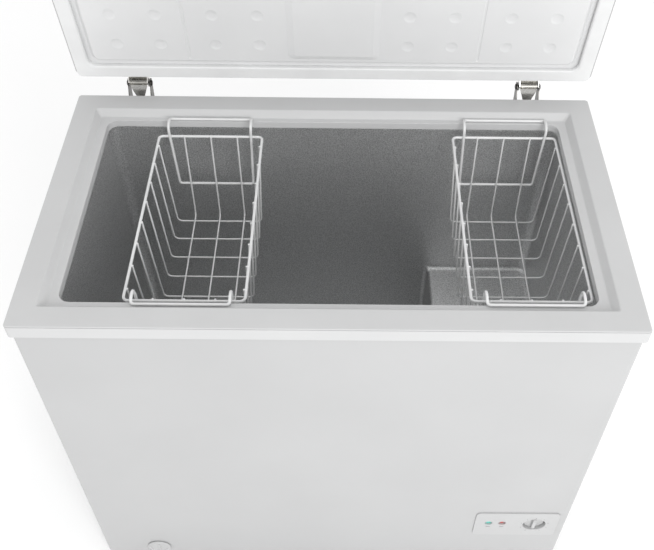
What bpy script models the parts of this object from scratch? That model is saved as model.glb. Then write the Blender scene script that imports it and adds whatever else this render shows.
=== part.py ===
"""Chest freezer of about 200 litres with its lid open and two hanging wire baskets.

Metres, +Z up, +Y towards the back, the floor at Z = 0. The lid and everything on it are drawn
shut, about the hinge axis, and an empty on that axis turns them open.
"""

import math

import bmesh
import bpy
from mathutils import Matrix, Vector

# Cabinet
WIDTH = 0.945  # over the collar and the lid
DEPTH = 0.545
COLLAR_TOP = 0.797  # above the floor
FRONT_Y = -0.3003  # the collar's front edge, which centres the open freezer on the origin
BACK_Y = FRONT_Y + DEPTH
MIDDLE_Y = FRONT_Y + DEPTH / 2
BODY_INSET = 0.005  # sheet steel body behind the collar's edge
BODY_HALF_X = WIDTH / 2 - BODY_INSET
BODY_FRONT = FRONT_Y + BODY_INSET
BODY_BACK = BACK_Y - BODY_INSET
BODY_BOTTOM = 0.022
PAN_EDGE = 0.014
SHEET = 0.0008
GAP = 0.0003  # between pieces that touch
PLAY = 0.0006  # between pieces that slide or turn

# Collar section, measured in from its outer edge and down from its top
LIP_DEPTH = 0.016
COLLAR_WALL = 0.0025
FLAT_WIDTH = 0.039
LEDGE_START = 0.049
LEDGE_DEPTH = 0.012
SKIRT_INSET_X = 0.0635
SKIRT_INSET_Y = 0.0585
SKIRT_DEPTH = 0.026

# Tank and its compressor step
LINER_WALL = 0.0008
TANK_HALF_X = WIDTH / 2 - SKIRT_INSET_X + COLLAR_WALL + 0.0005
TANK_HALF_Y = DEPTH / 2 - SKIRT_INSET_Y + COLLAR_WALL + 0.0005
TANK_FLOOR = 0.080
TANK_TOP = COLLAR_TOP - LEDGE_DEPTH - COLLAR_WALL - 0.0005
TANK_CORNER = 0.020
STEP_LEFT = 0.202
STEP_TOP = 0.388
FOAM_TO_TANK = 0.0095  # room for the evaporator coil
FOAM_TO_SHEET = 0.0070  # room for the condenser coil

# Machine compartment under the step
MACHINE_LEFT = 0.245
MACHINE_TOP = 0.340
COMPRESSOR_AT = Vector((0.356, BACK_Y - 0.135, 0.0))
VENT_LOW = Vector((0.262, 0, 0.045))
VENT_HIGH = Vector((0.452, 0, 0.315))
GLAND_AT = Vector((0.283, BODY_BACK, 0.068))
GLAND_R = 0.008

# Front fittings
PANEL_LEFT = 0.286
PANEL_WIDTH = 0.165
PANEL_HEIGHT = 0.092
PANEL_MIDDLE = Vector((PANEL_LEFT + PANEL_WIDTH / 2, BODY_FRONT - GAP, 0.165))
PANEL_THICK = 0.0024
LAMP_R = 0.0070
GREEN_LAMP = Vector((0.3135, PANEL_MIDDLE.y, 0.170))
RED_LAMP = Vector((0.3405, PANEL_MIDDLE.y, 0.170))
KNOB_AT = Vector((0.4050, PANEL_MIDDLE.y, 0.165))
KNOB_R = 0.0200
KNOB_WELL_R = 0.0225
KNOB_WELL_DEPTH = 0.0105
DRAIN_AT = Vector((-0.358, BODY_FRONT, 0.0495))
DRAIN_CAP_R = 0.024
DRAIN_TUBE_R = 0.0100
DRAIN_BORE_R = 0.0080
DRAIN_FLOOR_Y = FRONT_Y + 0.115

# Lid, about the hinge axis
OPEN_ANGLE = math.radians(81.5)
HINGE_Y = BACK_Y + 0.0203
HINGE_Z = COLLAR_TOP + 0.0133
LID_GAP = 0.012  # collar to lid, filled by the gasket
LID_THICK = 0.041
LID_LOW = COLLAR_TOP + LID_GAP - HINGE_Z
LID_HIGH = LID_LOW + LID_THICK
LID_MIDDLE_Y = MIDDLE_Y - HINGE_Y
LID_BACK = BACK_Y - HINGE_Y
LID_FRONT = FRONT_Y - HINGE_Y
LID_SHEET = 0.001
LID_FLANGE = 0.014
LINER_PANEL_DROP = 0.009
GASKET_HIGH = LID_LOW - 0.0022
GASKET_LOW = LID_LOW - 0.0115
GRIP_HALF = 0.100

# Hinges
HINGE_X = 0.361
CHEEK_X = 0.0165  # inner face of the lid leaf's cheeks
EAR_X = 0.0196  # inner face of the cabinet bracket's ears
PLATE = 0.0015
PIN_R = 0.0030
CAM_R = 0.0025
CAM_REACH = 0.0110
CAM_ANGLE = math.radians(140)
BRACKET_LOW = COLLAR_TOP - 0.150
BRACKET_HIGH = COLLAR_TOP - 0.018
SCREW_Z = COLLAR_TOP - 0.085
SCREW_SPREAD = 0.0285
PLUNGER_Y = HINGE_Y + CAM_REACH * math.cos(CAM_ANGLE)
PLUNGER_TOP = HINGE_Z + CAM_REACH * math.sin(CAM_ANGLE) - CAM_R - 0.0008
SPRING_LOW = BRACKET_LOW + 0.0035
SPRING_HIGH = PLUNGER_TOP - 0.040
SPRING_R = 0.0080

# Baskets
RIM_WIDTH = 0.187
RIM_LENGTH = 0.389
RIM_Z = COLLAR_TOP - 0.030
RIM_WIRE = 0.0025
THIN_WIRE = 0.0016
BASKET_BOTTOM = COLLAR_TOP - 0.220
SIDE_TAPER = 0.012
END_TAPER = 0.014
HOOPS = 8
FIRST_HOOP = 0.028
LAST_HOOP = 0.023
RAIL_SPREAD = 0.048
HANGER_WIDTH = 0.148
HANGER_DROP = 0.111
HANGER_REACH = 0.0235
HANGER_Z = COLLAR_TOP - LEDGE_DEPTH + RIM_WIRE + GAP
LEFT_BASKET = Vector((-0.223, MIDDLE_Y - 0.002, 0))
RIGHT_BASKET = Vector((0.3115, MIDDLE_Y + 0.002, 0))

# name: (colour, roughness, metallic)
LOOKS = {
    "white_steel": ((0.86, 0.86, 0.86), 0.35, 0.0),
    "white_plastic": ((0.80, 0.80, 0.80), 0.45, 0.0),
    "soft_white": ((0.78, 0.78, 0.77), 0.65, 0.0),
    "aluminium": ((0.55, 0.56, 0.57), 0.42, 1.0),
    "foam": ((0.85, 0.75, 0.48), 0.90, 0.0),
    "zinc": ((0.62, 0.63, 0.64), 0.35, 1.0),
    "spring_steel": ((0.35, 0.35, 0.36), 0.40, 1.0),
    "black_paint": ((0.03, 0.03, 0.03), 0.40, 0.0),
    "black_plastic": ((0.04, 0.04, 0.04), 0.55, 0.0),
    "rubber": ((0.05, 0.05, 0.05), 0.80, 0.0),
    "copper": ((0.72, 0.38, 0.24), 0.30, 1.0),
    "green_lens": ((0.05, 0.36, 0.30), 0.20, 0.0),
    "red_lens": ((0.30, 0.03, 0.02), 0.20, 0.0),
    "white_wire": ((0.84, 0.84, 0.83), 0.40, 0.0),
}


def clear_scene():
    for thing in list(bpy.data.objects):
        bpy.data.objects.remove(thing, do_unlink=True)


def look(name):
    """The material of this name, made when it is first asked for."""
    if name not in bpy.data.materials:
        colour, roughness, metallic = LOOKS[name]
        made = bpy.data.materials.new(name)
        made.use_nodes = True
        shader = made.node_tree.nodes["Principled BSDF"]
        shader.inputs["Base Color"].default_value = (*colour, 1.0)
        shader.inputs["Roughness"].default_value = roughness
        shader.inputs["Metallic"].default_value = metallic
    return bpy.data.materials[name]


def place(name, data, look_name, parent=None):
    thing = bpy.data.objects.new(name, data)
    data.materials.clear()
    data.materials.append(look(look_name))
    bpy.context.collection.objects.link(thing)
    thing.parent = parent
    return thing


def finish(name, work, look_name, parent=None):
    """Turns a bmesh into a shaded object."""
    bmesh.ops.recalc_face_normals(work, faces=work.faces)
    mesh = bpy.data.meshes.new(name)
    work.to_mesh(mesh)
    work.free()
    mesh.shade_smooth()
    mesh.set_sharp_from_angle(angle=math.radians(35))
    return place(name, mesh, look_name, parent)


def hide(cutter):
    cutter.hide_render = True
    cutter.display_type = "WIRE"
    return cutter


def combine(target, other, operation):
    step = target.modifiers.new(operation.lower(), "BOOLEAN")
    step.operation = operation
    step.object = hide(other)
    return target


def cut(target, cutter):
    return combine(target, cutter, "DIFFERENCE")


def join(target, other):
    return combine(target, other, "UNION")


def freeze(thing):
    """Replaces an object's mesh by its evaluated one and drops the cutters it used."""
    used = [step.object for step in thing.modifiers]
    graph = bpy.context.evaluated_depsgraph_get()
    mesh = bpy.data.meshes.new_from_object(thing.evaluated_get(graph))
    thing.modifiers.clear()
    thing.data = mesh
    for other in used:
        bpy.data.objects.remove(other, do_unlink=True)
    return thing


def loft(work, sections, cyclic=False):
    """Bridges closed sections that have the same number of points, and caps the ends."""
    rings = [[work.verts.new(point) for point in section] for section in sections]
    count = len(rings[0])
    pairs = list(zip(rings, rings[1:]))
    if cyclic:
        pairs.append((rings[-1], rings[0]))
    for one, two in pairs:
        for i in range(count):
            j = (i + 1) % count
            work.faces.new((one[i], one[j], two[j], two[i]))
    if not cyclic:
        work.faces.new(rings[0])
        work.faces.new(tuple(reversed(rings[-1])))


def rounded_loop(half_x, half_y, radius, z, middle=(0.0, 0.0), steps=4):
    """A rectangle with rounded corners, as points at height z."""
    points = []
    for quarter in range(4):
        sign_x = 1 if quarter in (0, 3) else -1
        sign_y = 1 if quarter in (0, 1) else -1
        for step in range(steps + 1):
            angle = math.radians(90) * (quarter + step / steps)
            x = sign_x * (half_x - radius) + radius * math.cos(angle)
            y = sign_y * (half_y - radius) + radius * math.sin(angle)
            points.append((middle[0] + x, middle[1] + y, z))
    return points


def fillet(corners, radius, steps=3, cyclic=False):
    """A path through corners, each rounded by a short curve."""
    path = []
    count = len(corners)
    for i, corner in enumerate(corners):
        here = Vector(corner)
        if not cyclic and i in (0, count - 1):
            path.append(here)
            continue
        back = Vector(corners[i - 1]) - here
        on = Vector(corners[(i + 1) % count]) - here
        reach = min(radius, back.length / 2.1, on.length / 2.1)
        start = here + back.normalized() * reach
        end = here + on.normalized() * reach
        for step in range(steps + 1):
            t = step / steps
            path.append(start.lerp(here, t).lerp(here.lerp(end, t), t))
    return path


def box_mesh(low, high):
    work = bmesh.new()
    low, high = Vector(low), Vector(high)
    size = high - low
    matrix = Matrix.Translation((low + high) / 2) @ Matrix.Diagonal((*size, 1))
    bmesh.ops.create_cube(work, size=1.0, matrix=matrix)
    return work


def turned(profile, steps=16, middle=(0, 0, 0), axis="Z"):
    """Turns (radius, height) points about an axis through middle. Radius 0 closes an end."""
    work = bmesh.new()
    turn = {"Z": Matrix(), "Y": Matrix.Rotation(math.radians(90), 4, "X")}
    turn["X"] = Matrix.Rotation(math.radians(90), 4, "Y")
    matrix = Matrix.Translation(middle) @ turn[axis]
    rings = []
    for radius, height in profile:
        if radius == 0:
            rings.append([work.verts.new(matrix @ Vector((0, 0, height)))])
            continue
        ring = []
        for i in range(steps):
            angle = 2 * math.pi * (i + 0.5) / steps
            spot = Vector((radius * math.cos(angle), radius * math.sin(angle), height))
            ring.append(work.verts.new(matrix @ spot))
        rings.append(ring)
    closed = profile[0][0] != 0
    pairs = list(zip(rings, rings[1:])) + ([(rings[-1], rings[0])] if closed else [])
    for one, two in pairs:
        for i in range(steps):
            j = (i + 1) % steps
            corners = [one[i % len(one)], one[j % len(one)], two[j % len(two)], two[i % len(two)]]
            work.faces.new(list(dict.fromkeys(corners)))
    return work


def rod(radius, low, high, steps=12, middle=(0, 0, 0), axis="Z"):
    return turned([(0, low), (radius, low), (radius, high), (0, high)], steps, middle, axis)


def pipe(name, path, radius, look_name, cyclic=False, sides=6, parent=None):
    """A round wire or tube along a path, as a curve with filled caps."""
    curve = bpy.data.curves.new(name, "CURVE")
    curve.dimensions = "3D"
    spline = curve.splines.new("POLY")
    spline.points.add(len(path) - 1)
    for point, spot in zip(spline.points, path):
        point.co = (*spot, 1.0)
    spline.use_cyclic_u = cyclic
    curve.bevel_depth = radius
    curve.bevel_resolution = (sides - 4) // 2
    curve.use_fill_caps = True
    return place(name, curve, look_name, parent)


def as_mesh(thing):
    """Turns a curve object into a mesh object of the same name."""
    graph = bpy.context.evaluated_depsgraph_get()
    mesh = bpy.data.meshes.new_from_object(thing.evaluated_get(graph))
    name, material, parent = thing.name, thing.data.materials[0].name, thing.parent
    bpy.data.objects.remove(thing, do_unlink=True)
    return place(name, mesh, material, parent)


def folded_sheet(path, thickness, low, high):
    """A sheet that stands on an XY path, with its thickness to the left of the path."""
    work = bmesh.new()
    sections = []
    for i, spot in enumerate(path):
        ahead = path[min(i + 1, len(path) - 1)]
        behind = path[max(i - 1, 0)]
        one = (Vector(spot) - Vector(behind)).normalized() if i else None
        two = (Vector(ahead) - Vector(spot)).normalized() if i < len(path) - 1 else one
        along = ((one or two) + two).normalized()
        side = Vector((-along.y, along.x)) * (thickness / max(along.dot(two), 0.5))
        inner = Vector(spot) + side
        sections.append(
            [(*spot, low), (*spot, high), (inner.x, inner.y, high), (inner.x, inner.y, low)]
        )
    loft(work, sections)
    return work


# Cabinet shells


def make_collar():
    """The moulded frame round the mouth: lip, flat, slope, ledge and skirt in one section."""
    top = COLLAR_TOP
    wall = COLLAR_WALL
    skirt = (SKIRT_INSET_X, SKIRT_INSET_Y)
    # (inset along X, inset along Y, height, corner radius)
    section = [
        (0, 0, top - LIP_DEPTH, 0.006),
        (0, 0, top - 0.0015, 0.006),
        (0.0015, 0.0015, top, 0.005),
        (FLAT_WIDTH, FLAT_WIDTH, top, 0.004),
        (LEDGE_START, LEDGE_START, top - LEDGE_DEPTH, 0.006),
        (skirt[0] - 0.0013, skirt[1] - 0.0013, top - LEDGE_DEPTH, 0.019),
        (skirt[0], skirt[1], top - LEDGE_DEPTH - 0.0013, 0.018),
        (skirt[0], skirt[1], top - SKIRT_DEPTH, 0.018),
        (skirt[0] - wall, skirt[1] - wall, top - SKIRT_DEPTH, 0.020),
        (skirt[0] - wall, skirt[1] - wall, top - LEDGE_DEPTH - wall, 0.020),
        (LEDGE_START - 0.0015, LEDGE_START - 0.0015, top - LEDGE_DEPTH - wall, 0.007),
        (FLAT_WIDTH - 0.0012, FLAT_WIDTH - 0.0012, top - wall, 0.005),
        (wall, wall, top - wall, 0.004),
        (wall, wall, top - LIP_DEPTH, 0.004),
    ]
    work = bmesh.new()
    loops = []
    for inset_x, inset_y, z, radius in section:
        half = WIDTH / 2 - inset_x, DEPTH / 2 - inset_y
        loops.append(rounded_loop(*half, radius, z, (0, MIDDLE_Y)))
    loft(work, loops, cyclic=True)
    return finish("top_collar", work, "white_plastic")


def make_wrapper():
    """Front and sides, folded from one sheet, with holes for the panel and the drain."""
    back = BODY_BACK - SHEET - GAP
    corners = [
        (BODY_HALF_X, back, 0),
        (BODY_HALF_X, BODY_FRONT, 0),
        (-BODY_HALF_X, BODY_FRONT, 0),
        (-BODY_HALF_X, back, 0),
    ]
    path = [(spot.x, spot.y) for spot in reversed(fillet(corners, 0.005))]
    high = COLLAR_TOP - COLLAR_WALL - 2 * GAP
    wrapper = finish("outer_wrapper", folded_sheet(path, SHEET, BODY_BOTTOM, high), "white_steel")
    half = Vector((PANEL_WIDTH / 2 - 0.010, 0.010, PANEL_HEIGHT / 2 - 0.010))
    window = finish("panel_window", box_mesh(PANEL_MIDDLE - half, PANEL_MIDDLE + half), "zinc")
    cut(wrapper, window)
    hole = rod(DRAIN_TUBE_R + 0.001, -0.01, 0.01, 16, DRAIN_AT, "Y")
    cut(wrapper, finish("drain_hole", hole, "zinc"))
    return wrapper


def make_rear_panel():
    low = (-BODY_HALF_X + GAP, BODY_BACK - SHEET, BODY_BOTTOM)
    high = (BODY_HALF_X - GAP, BODY_BACK, COLLAR_TOP - COLLAR_WALL - 2 * GAP)
    panel = finish("rear_panel", box_mesh(low, high), "white_steel")
    reach = Vector((0, 0.01, 0))
    vent = (VENT_LOW + Vector((0, BODY_BACK, 0)) - reach, VENT_HIGH + Vector((0, BODY_BACK, 0)) + reach)
    cut(panel, finish("vent_hole", box_mesh(*vent), "zinc"))
    for i, spot in enumerate(screw_spots()):
        hole = rod(0.0024, -0.01, 0.01, 8, spot, "Y")
        cut(panel, finish(f"screw_hole_{i}", hole, "zinc"))
    return panel


def tank_block(name, grow, top):
    """The tank's inside grown by an amount, with the compressor step taken out of it."""
    work = bmesh.new()
    half = TANK_HALF_X + grow, TANK_HALF_Y + grow
    floor = TANK_FLOOR - grow
    radius = TANK_CORNER + grow
    loops = [
        rounded_loop(half[0] - 0.008, half[1] - 0.008, radius - 0.008, floor, (0, MIDDLE_Y)),
        rounded_loop(*half, radius, floor + 0.008, (0, MIDDLE_Y)),
        rounded_loop(*half, radius, top, (0, MIDDLE_Y)),
    ]
    loft(work, loops)
    block = finish(name, work, "aluminium")
    low = (STEP_LEFT + grow, FRONT_Y - 0.05, TANK_FLOOR - 0.1)
    high = (WIDTH, BACK_Y + 0.05, STEP_TOP - grow)
    cut(block, finish(name + "_step", box_mesh(low, high), "aluminium"))
    return freeze(block)


def make_tank():
    """Thin aluminium tank with a turned-out flange and a drain hole in its floor."""
    tank = tank_block("tank_liner", LINER_WALL, TANK_TOP)
    work = bmesh.new()
    width = 0.008
    flange = []
    under = TANK_TOP - LINER_WALL
    for grow, z in ((0.0, under), (width, under), (width, TANK_TOP), (0.0, TANK_TOP)):
        half = TANK_HALF_X + LINER_WALL / 2 + grow, TANK_HALF_Y + LINER_WALL / 2 + grow
        flange.append(rounded_loop(*half, TANK_CORNER - 0.004 + grow, z, (0, MIDDLE_Y)))
    loft(work, flange, cyclic=True)
    join(tank, finish("tank_flange", work, "aluminium"))
    cut(tank, tank_block("tank_inside", 0.0, COLLAR_TOP + 0.05))
    hole = rod(DRAIN_BORE_R, -0.01, 0.01, 16, (DRAIN_AT.x, DRAIN_FLOOR_Y, TANK_FLOOR))
    cut(tank, finish("floor_hole", hole, "aluminium"))
    return tank


def make_insulation():
    """Foam between tank and body, cut away for the machine compartment and the drain."""
    half = BODY_HALF_X - FOAM_TO_SHEET, DEPTH / 2 - BODY_INSET - FOAM_TO_SHEET
    levels = BODY_BOTTOM + 0.0030, TANK_TOP - LINER_WALL - GAP
    work = bmesh.new()
    loft(work, [rounded_loop(*half, 0.010, z, (0, MIDDLE_Y)) for z in levels])
    foam = finish("cabinet_insulation", work, "foam")
    cut(foam, tank_block("foam_inside", FOAM_TO_TANK, COLLAR_TOP + 0.05))
    bay_low = (MACHINE_LEFT - SHEET - GAP, FRONT_Y - 0.05, 0)
    bay_high = (WIDTH, BACK_Y + 0.05, MACHINE_TOP + SHEET + GAP)
    cut(foam, finish("foam_bay", box_mesh(bay_low, bay_high), "foam"))
    pan_low = (MACHINE_LEFT - 0.0045, FRONT_Y - 0.05, 0)
    pan_high = (MACHINE_LEFT + 0.01, BACK_Y + 0.05, BODY_BOTTOM + PAN_EDGE + GAP)
    cut(foam, finish("foam_pan_edge", box_mesh(pan_low, pan_high), "foam"))
    reach = DRAIN_TUBE_R + 0.0015
    run_low = (DRAIN_AT.x - reach, FRONT_Y, DRAIN_AT.z - reach)
    run_high = (DRAIN_AT.x + reach, DRAIN_FLOOR_Y + reach, TANK_FLOOR)
    cut(foam, finish("foam_drain", box_mesh(run_low, run_high), "foam"))
    return foam


def make_base_pan():
    """Pressed tray under the insulated part, open on top."""
    low_x, high_x = -BODY_HALF_X + 0.0015, MACHINE_LEFT - 0.003
    work = bmesh.new()
    middle = ((low_x + high_x) / 2, MIDDLE_Y)
    half = (high_x - low_x) / 2, DEPTH / 2 - BODY_INSET - 0.0022
    bottom, edge = BODY_BOTTOM, BODY_BOTTOM + PAN_EDGE
    loops = []
    for inset, z in ((0.0, bottom), (0.0, edge), (0.0010, edge), (0.0010, bottom + 0.0012)):
        loops.append(rounded_loop(half[0] - inset, half[1] - inset, 0.004, z, middle, 2))
    loft(work, loops)
    return finish("base_pan", work, "zinc")


def make_base_plate():
    """Channel of steel that carries the compressor and the two right-hand feet."""
    work = bmesh.new()
    left, right = MACHINE_LEFT + 0.001, BODY_HALF_X - 0.0015
    low, high = BODY_BOTTOM, BODY_BOTTOM + PAN_EDGE
    wall = 0.0015
    section = [
        (left, high),
        (left, low),
        (right, low),
        (right, high),
        (right - wall, high),
        (right - wall, low + wall),
        (left + wall, low + wall),
        (left + wall, high),
    ]
    ends = BODY_FRONT + 0.0025, BODY_BACK - 0.0025
    loft(work, [[(x, y, z) for x, z in section] for y in ends])
    return finish("compressor_base_plate", work, "zinc")


def make_divider():
    """Bent sheet that lines the machine compartment's inner side and ceiling."""
    work = bmesh.new()
    right = BODY_HALF_X - 0.003
    low = BODY_BOTTOM + 0.0155
    section = [
        (MACHINE_LEFT - SHEET, low),
        (MACHINE_LEFT, low),
        (MACHINE_LEFT, MACHINE_TOP),
        (right, MACHINE_TOP),
        (right, MACHINE_TOP + SHEET),
        (MACHINE_LEFT - SHEET, MACHINE_TOP + SHEET),
    ]
    ends = BODY_FRONT + 0.008, BODY_BACK - 0.008
    loft(work, [[(x, y, z) for x, z in section] for y in ends])
    return finish("compartment_divider", work, "zinc")


def make_grille():
    """Louvred cover over the vent in the rear panel, with a hole for the cord gland."""
    edge = 0.008
    low = VENT_LOW - Vector((edge, 0, edge)) + Vector((0, BODY_BACK + GAP, 0))
    high = VENT_HIGH + Vector((edge, 0, edge)) + Vector((0, BODY_BACK + GAP + 0.002, 0))
    grille = finish("rear_grille", box_mesh(low, high), "white_plastic")
    rows = 9
    for row in range(rows):
        z = VENT_LOW.z + 0.055 + row * 0.022
        slot = ((VENT_LOW.x + 0.015, low.y - 0.01, z), (VENT_HIGH.x - 0.015, high.y + 0.01, z + 0.009))
        cut(grille, finish(f"slot_{row}", box_mesh(*slot), "zinc"))
    hole = rod(GLAND_R + GAP, -0.02, 0.02, 12, GLAND_AT, "Y")
    cut(grille, finish("gland_hole", hole, "zinc"))
    return grille


def make_gland():
    """Strain-relief bush in the grille, with a bore for the mains lead."""
    bore = 0.0040
    back = GAP + 0.002
    profile = [
        (bore, 0.012),
        (bore, -back - 0.006),
        (GLAND_R - 0.002, -back - 0.006),
        (GLAND_R + 0.003, -back - 0.0035),
        (GLAND_R + 0.003, -back - GAP),
        (GLAND_R, -back - GAP),
        (GLAND_R - 0.001, 0.012),
    ]
    return finish("cord_gland", turned(profile, 12, GLAND_AT, "Y"), "black_plastic")


def make_feet():
    """Four moulded feet under the pan and the base plate."""
    top = BODY_BOTTOM - GAP
    profile = [(0, 0), (0.016, 0), (0.019, 0.004), (0.019, 0.010), (0.024, top - 0.003)]
    profile += [(0.024, top), (0, top)]
    for i, (x, y) in enumerate(((-1, -1), (1, -1), (-1, 1), (1, 1))):
        middle = (x * 0.410, MIDDLE_Y + y * 0.215, 0)
        finish(f"foot_{i + 1}", turned(profile, 16, middle), "black_plastic")


# Refrigeration


def make_compressor():
    """Welded steel pot on its foot plate."""
    profile = [
        (0, 0.052),
        (0.050, 0.052),
        (0.068, 0.063),
        (0.074, 0.085),
        (0.074, 0.124),
        (0.078, 0.1255),
        (0.078, 0.1305),
        (0.074, 0.132),
        (0.071, 0.165),
        (0.058, 0.190),
        (0.034, 0.203),
        (0, 0.207),
    ]
    pot = finish("compressor", turned(profile, 20, COMPRESSOR_AT), "black_paint")
    half = Vector((0.090, 0.062, 0))
    low, high = COMPRESSOR_AT - half, COMPRESSOR_AT + half
    feet = box_mesh((low.x, low.y, 0.0505), (high.x, high.y, 0.0535))
    return join(pot, finish("compressor_feet", feet, "black_paint"))


def make_mounts():
    """Rubber mounts between the foot plate and the base plate."""
    low = BODY_BOTTOM + 0.0015 + GAP
    high = 0.0505 - GAP
    profile = [(0, low), (0.011, low), (0.011, low + 0.006), (0.008, low + 0.008), (0.008, high), (0, high)]
    for i, (x, y) in enumerate(((-1, -1), (1, -1), (-1, 1), (1, 1))):
        middle = COMPRESSOR_AT + Vector((x * 0.076, y * 0.048, 0))
        finish(f"compressor_mount_{i + 1}", turned(profile, 12, middle), "rubber")


def make_relay_cover():
    low = COMPRESSOR_AT + Vector((-0.024, -0.105, 0.075))
    high = COMPRESSOR_AT + Vector((0.024, -0.0765, 0.125))
    work = box_mesh(low, high)
    bmesh.ops.bevel(work, geom=list(work.edges), offset=0.003, segments=2, affect="EDGES")
    return finish("relay_cover", work, "black_plastic")


def make_drier():
    """Copper filter drier standing beside the compressor."""
    profile = [
        (0, 0.080),
        (0.003, 0.081),
        (0.004, 0.092),
        (0.010, 0.100),
        (0.010, 0.165),
        (0.004, 0.173),
        (0.003, 0.184),
        (0, 0.185),
    ]
    middle = (MACHINE_LEFT + 0.022, COMPRESSOR_AT.y - 0.11, 0)
    return finish("filter_drier", turned(profile, 12, middle), "copper")


def make_machine_pipes():
    """Suction and discharge pipes from the pot up to the compartment's ceiling."""
    out = COMPRESSOR_AT + Vector((0, 0, 0.110))
    ceiling = MACHINE_TOP - 0.001
    suction = [
        out + Vector((0.055, 0.0575, 0)),
        out + Vector((0.075, 0.078, 0)),
        (COMPRESSOR_AT.x + 0.075, COMPRESSOR_AT.y + 0.078, 0.250),
        (COMPRESSOR_AT.x + 0.030, COMPRESSOR_AT.y + 0.078, 0.270),
        (COMPRESSOR_AT.x + 0.030, COMPRESSOR_AT.y + 0.078, ceiling),
    ]
    discharge = [
        out + Vector((-0.055, 0.0575, 0)),
        out + Vector((-0.078, 0.082, 0)),
        (COMPRESSOR_AT.x - 0.078, COMPRESSOR_AT.y + 0.082, 0.200),
        (COMPRESSOR_AT.x - 0.085, COMPRESSOR_AT.y - 0.060, 0.220),
        (COMPRESSOR_AT.x - 0.085, COMPRESSOR_AT.y - 0.060, ceiling),
    ]
    pipe("suction_tube", fillet(suction, 0.02), 0.004, "copper")
    pipe("discharge_tube", fillet(discharge, 0.02), 0.003, "copper")


def coil_path(half_x, half_y, corner, low, pitch, turns):
    """A rectangular helix round the cabinet's middle, from and to the middle of the back."""
    back = MIDDLE_Y + half_y
    corners = [(0, back, low)]
    for i in range(1, 4 * turns + 1):
        x = half_x if i % 4 in (0, 3) else -half_x
        y = half_y if i % 4 in (0, 1) else -half_y
        corners.append((x, MIDDLE_Y + y, low + pitch * i / 4))
    corners.append((0, back, low + pitch * turns))
    return fillet(corners, corner)


def make_coils():
    """Evaporator round the tank, condenser inside the body's sheets."""
    off = LINER_WALL + 0.0045
    path = coil_path(TANK_HALF_X + off, TANK_HALF_Y + off, 0.026, 0.410, 0.066, 5)
    pipe("evaporator_coil", path, 0.0025, "aluminium")
    off = SHEET + 0.0032
    path = coil_path(BODY_HALF_X - off, DEPTH / 2 - BODY_INSET - off, 0.012, 0.370, 0.070, 4)
    pipe("condenser_coil", path, 0.0023, "copper")


# Front fittings and drain


def make_panel():
    """Fascia with two lamp holes and a round well for the knob."""
    work = bmesh.new()
    half = PANEL_WIDTH / 2, PANEL_HEIGHT / 2
    loops = []
    for inset, out in ((0.0, 0.0), (0.0, PANEL_THICK - 0.001), (0.001, PANEL_THICK)):
        flat = rounded_loop(half[0] - inset, half[1] - inset, 0.010 - inset, 0)
        loops.append([(PANEL_MIDDLE.x + x, PANEL_MIDDLE.y - out, PANEL_MIDDLE.z + z) for x, z, _ in flat])
    loft(work, loops)
    panel = finish("control_panel", work, "white_plastic")
    cup = rod(KNOB_WELL_R + 0.0015, -0.001, KNOB_WELL_DEPTH, 24, KNOB_AT, "Y")
    cup_back = finish("well_outside", cup, "white_plastic")
    cup_back.matrix_world = Matrix.Translation((0, 0.0, 0))
    for vertex in cup_back.data.vertices:
        vertex.co.y = 2 * KNOB_AT.y - vertex.co.y
    cup_back.data.flip_normals()
    join(panel, cup_back)
    well = rod(KNOB_WELL_R, -(KNOB_WELL_DEPTH - 0.0015), 0.02, 24, KNOB_AT, "Y")
    cut(panel, finish("well_inside", well, "white_plastic"))
    shaft = rod(0.0036, -0.03, 0.03, 12, KNOB_AT, "Y")
    cut(panel, finish("shaft_hole", shaft, "white_plastic"))
    for name, spot in (("green", GREEN_LAMP), ("red", RED_LAMP)):
        hole = rod(LAMP_R + 0.0002, -0.02, 0.02, 16, spot, "Y")
        cut(panel, finish(f"{name}_lamp_hole", hole, "white_plastic"))
    return panel


def make_lamps():
    """Domed lenses, each with a collar behind the fascia."""
    face = PANEL_THICK + 0.0012
    profile = [
        (0, face),
        (0.0045, face - 0.0003),
        (LAMP_R - 0.0002, face - 0.0014),
        (LAMP_R - 0.0002, -GAP),
        (LAMP_R + 0.0020, -GAP),
        (LAMP_R + 0.0020, -0.003),
        (0.005, -0.003),
        (0.005, -0.016),
        (0, -0.016),
    ]
    finish("power_lamp_green", turned(profile, 16, GREEN_LAMP, "Y"), "green_lens")
    finish("alarm_lamp_red", turned(profile, 16, RED_LAMP, "Y"), "red_lens")


def make_knob():
    """Dial with a raised grip bar, on a shaft that turns in the thermostat."""
    floor = -(KNOB_WELL_DEPTH - 0.0015) + PLAY
    face = PANEL_THICK - 0.0004
    profile = [
        (0, -0.0215),
        (0.0030, -0.0215),
        (0.0030, floor),
        (KNOB_R, floor),
        (KNOB_R, face - 0.0060),
        (KNOB_R - 0.0010, face - 0.0050),
        (0, face - 0.0050),
    ]
    work = turned(profile, 24, (0, 0, 0), "Y")
    knob = finish("thermostat_knob", work, "white_plastic")
    bar = box_mesh((-0.0032, -face, -0.0180), (0.0032, -face + 0.0070, 0.0180))
    bmesh.ops.bevel(bar, geom=list(bar.edges), offset=0.0012, segments=1, affect="EDGES")
    grip = finish("knob_grip", bar, "white_plastic")
    knob.location = KNOB_AT
    grip.location = KNOB_AT
    return join(knob, grip)


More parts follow.
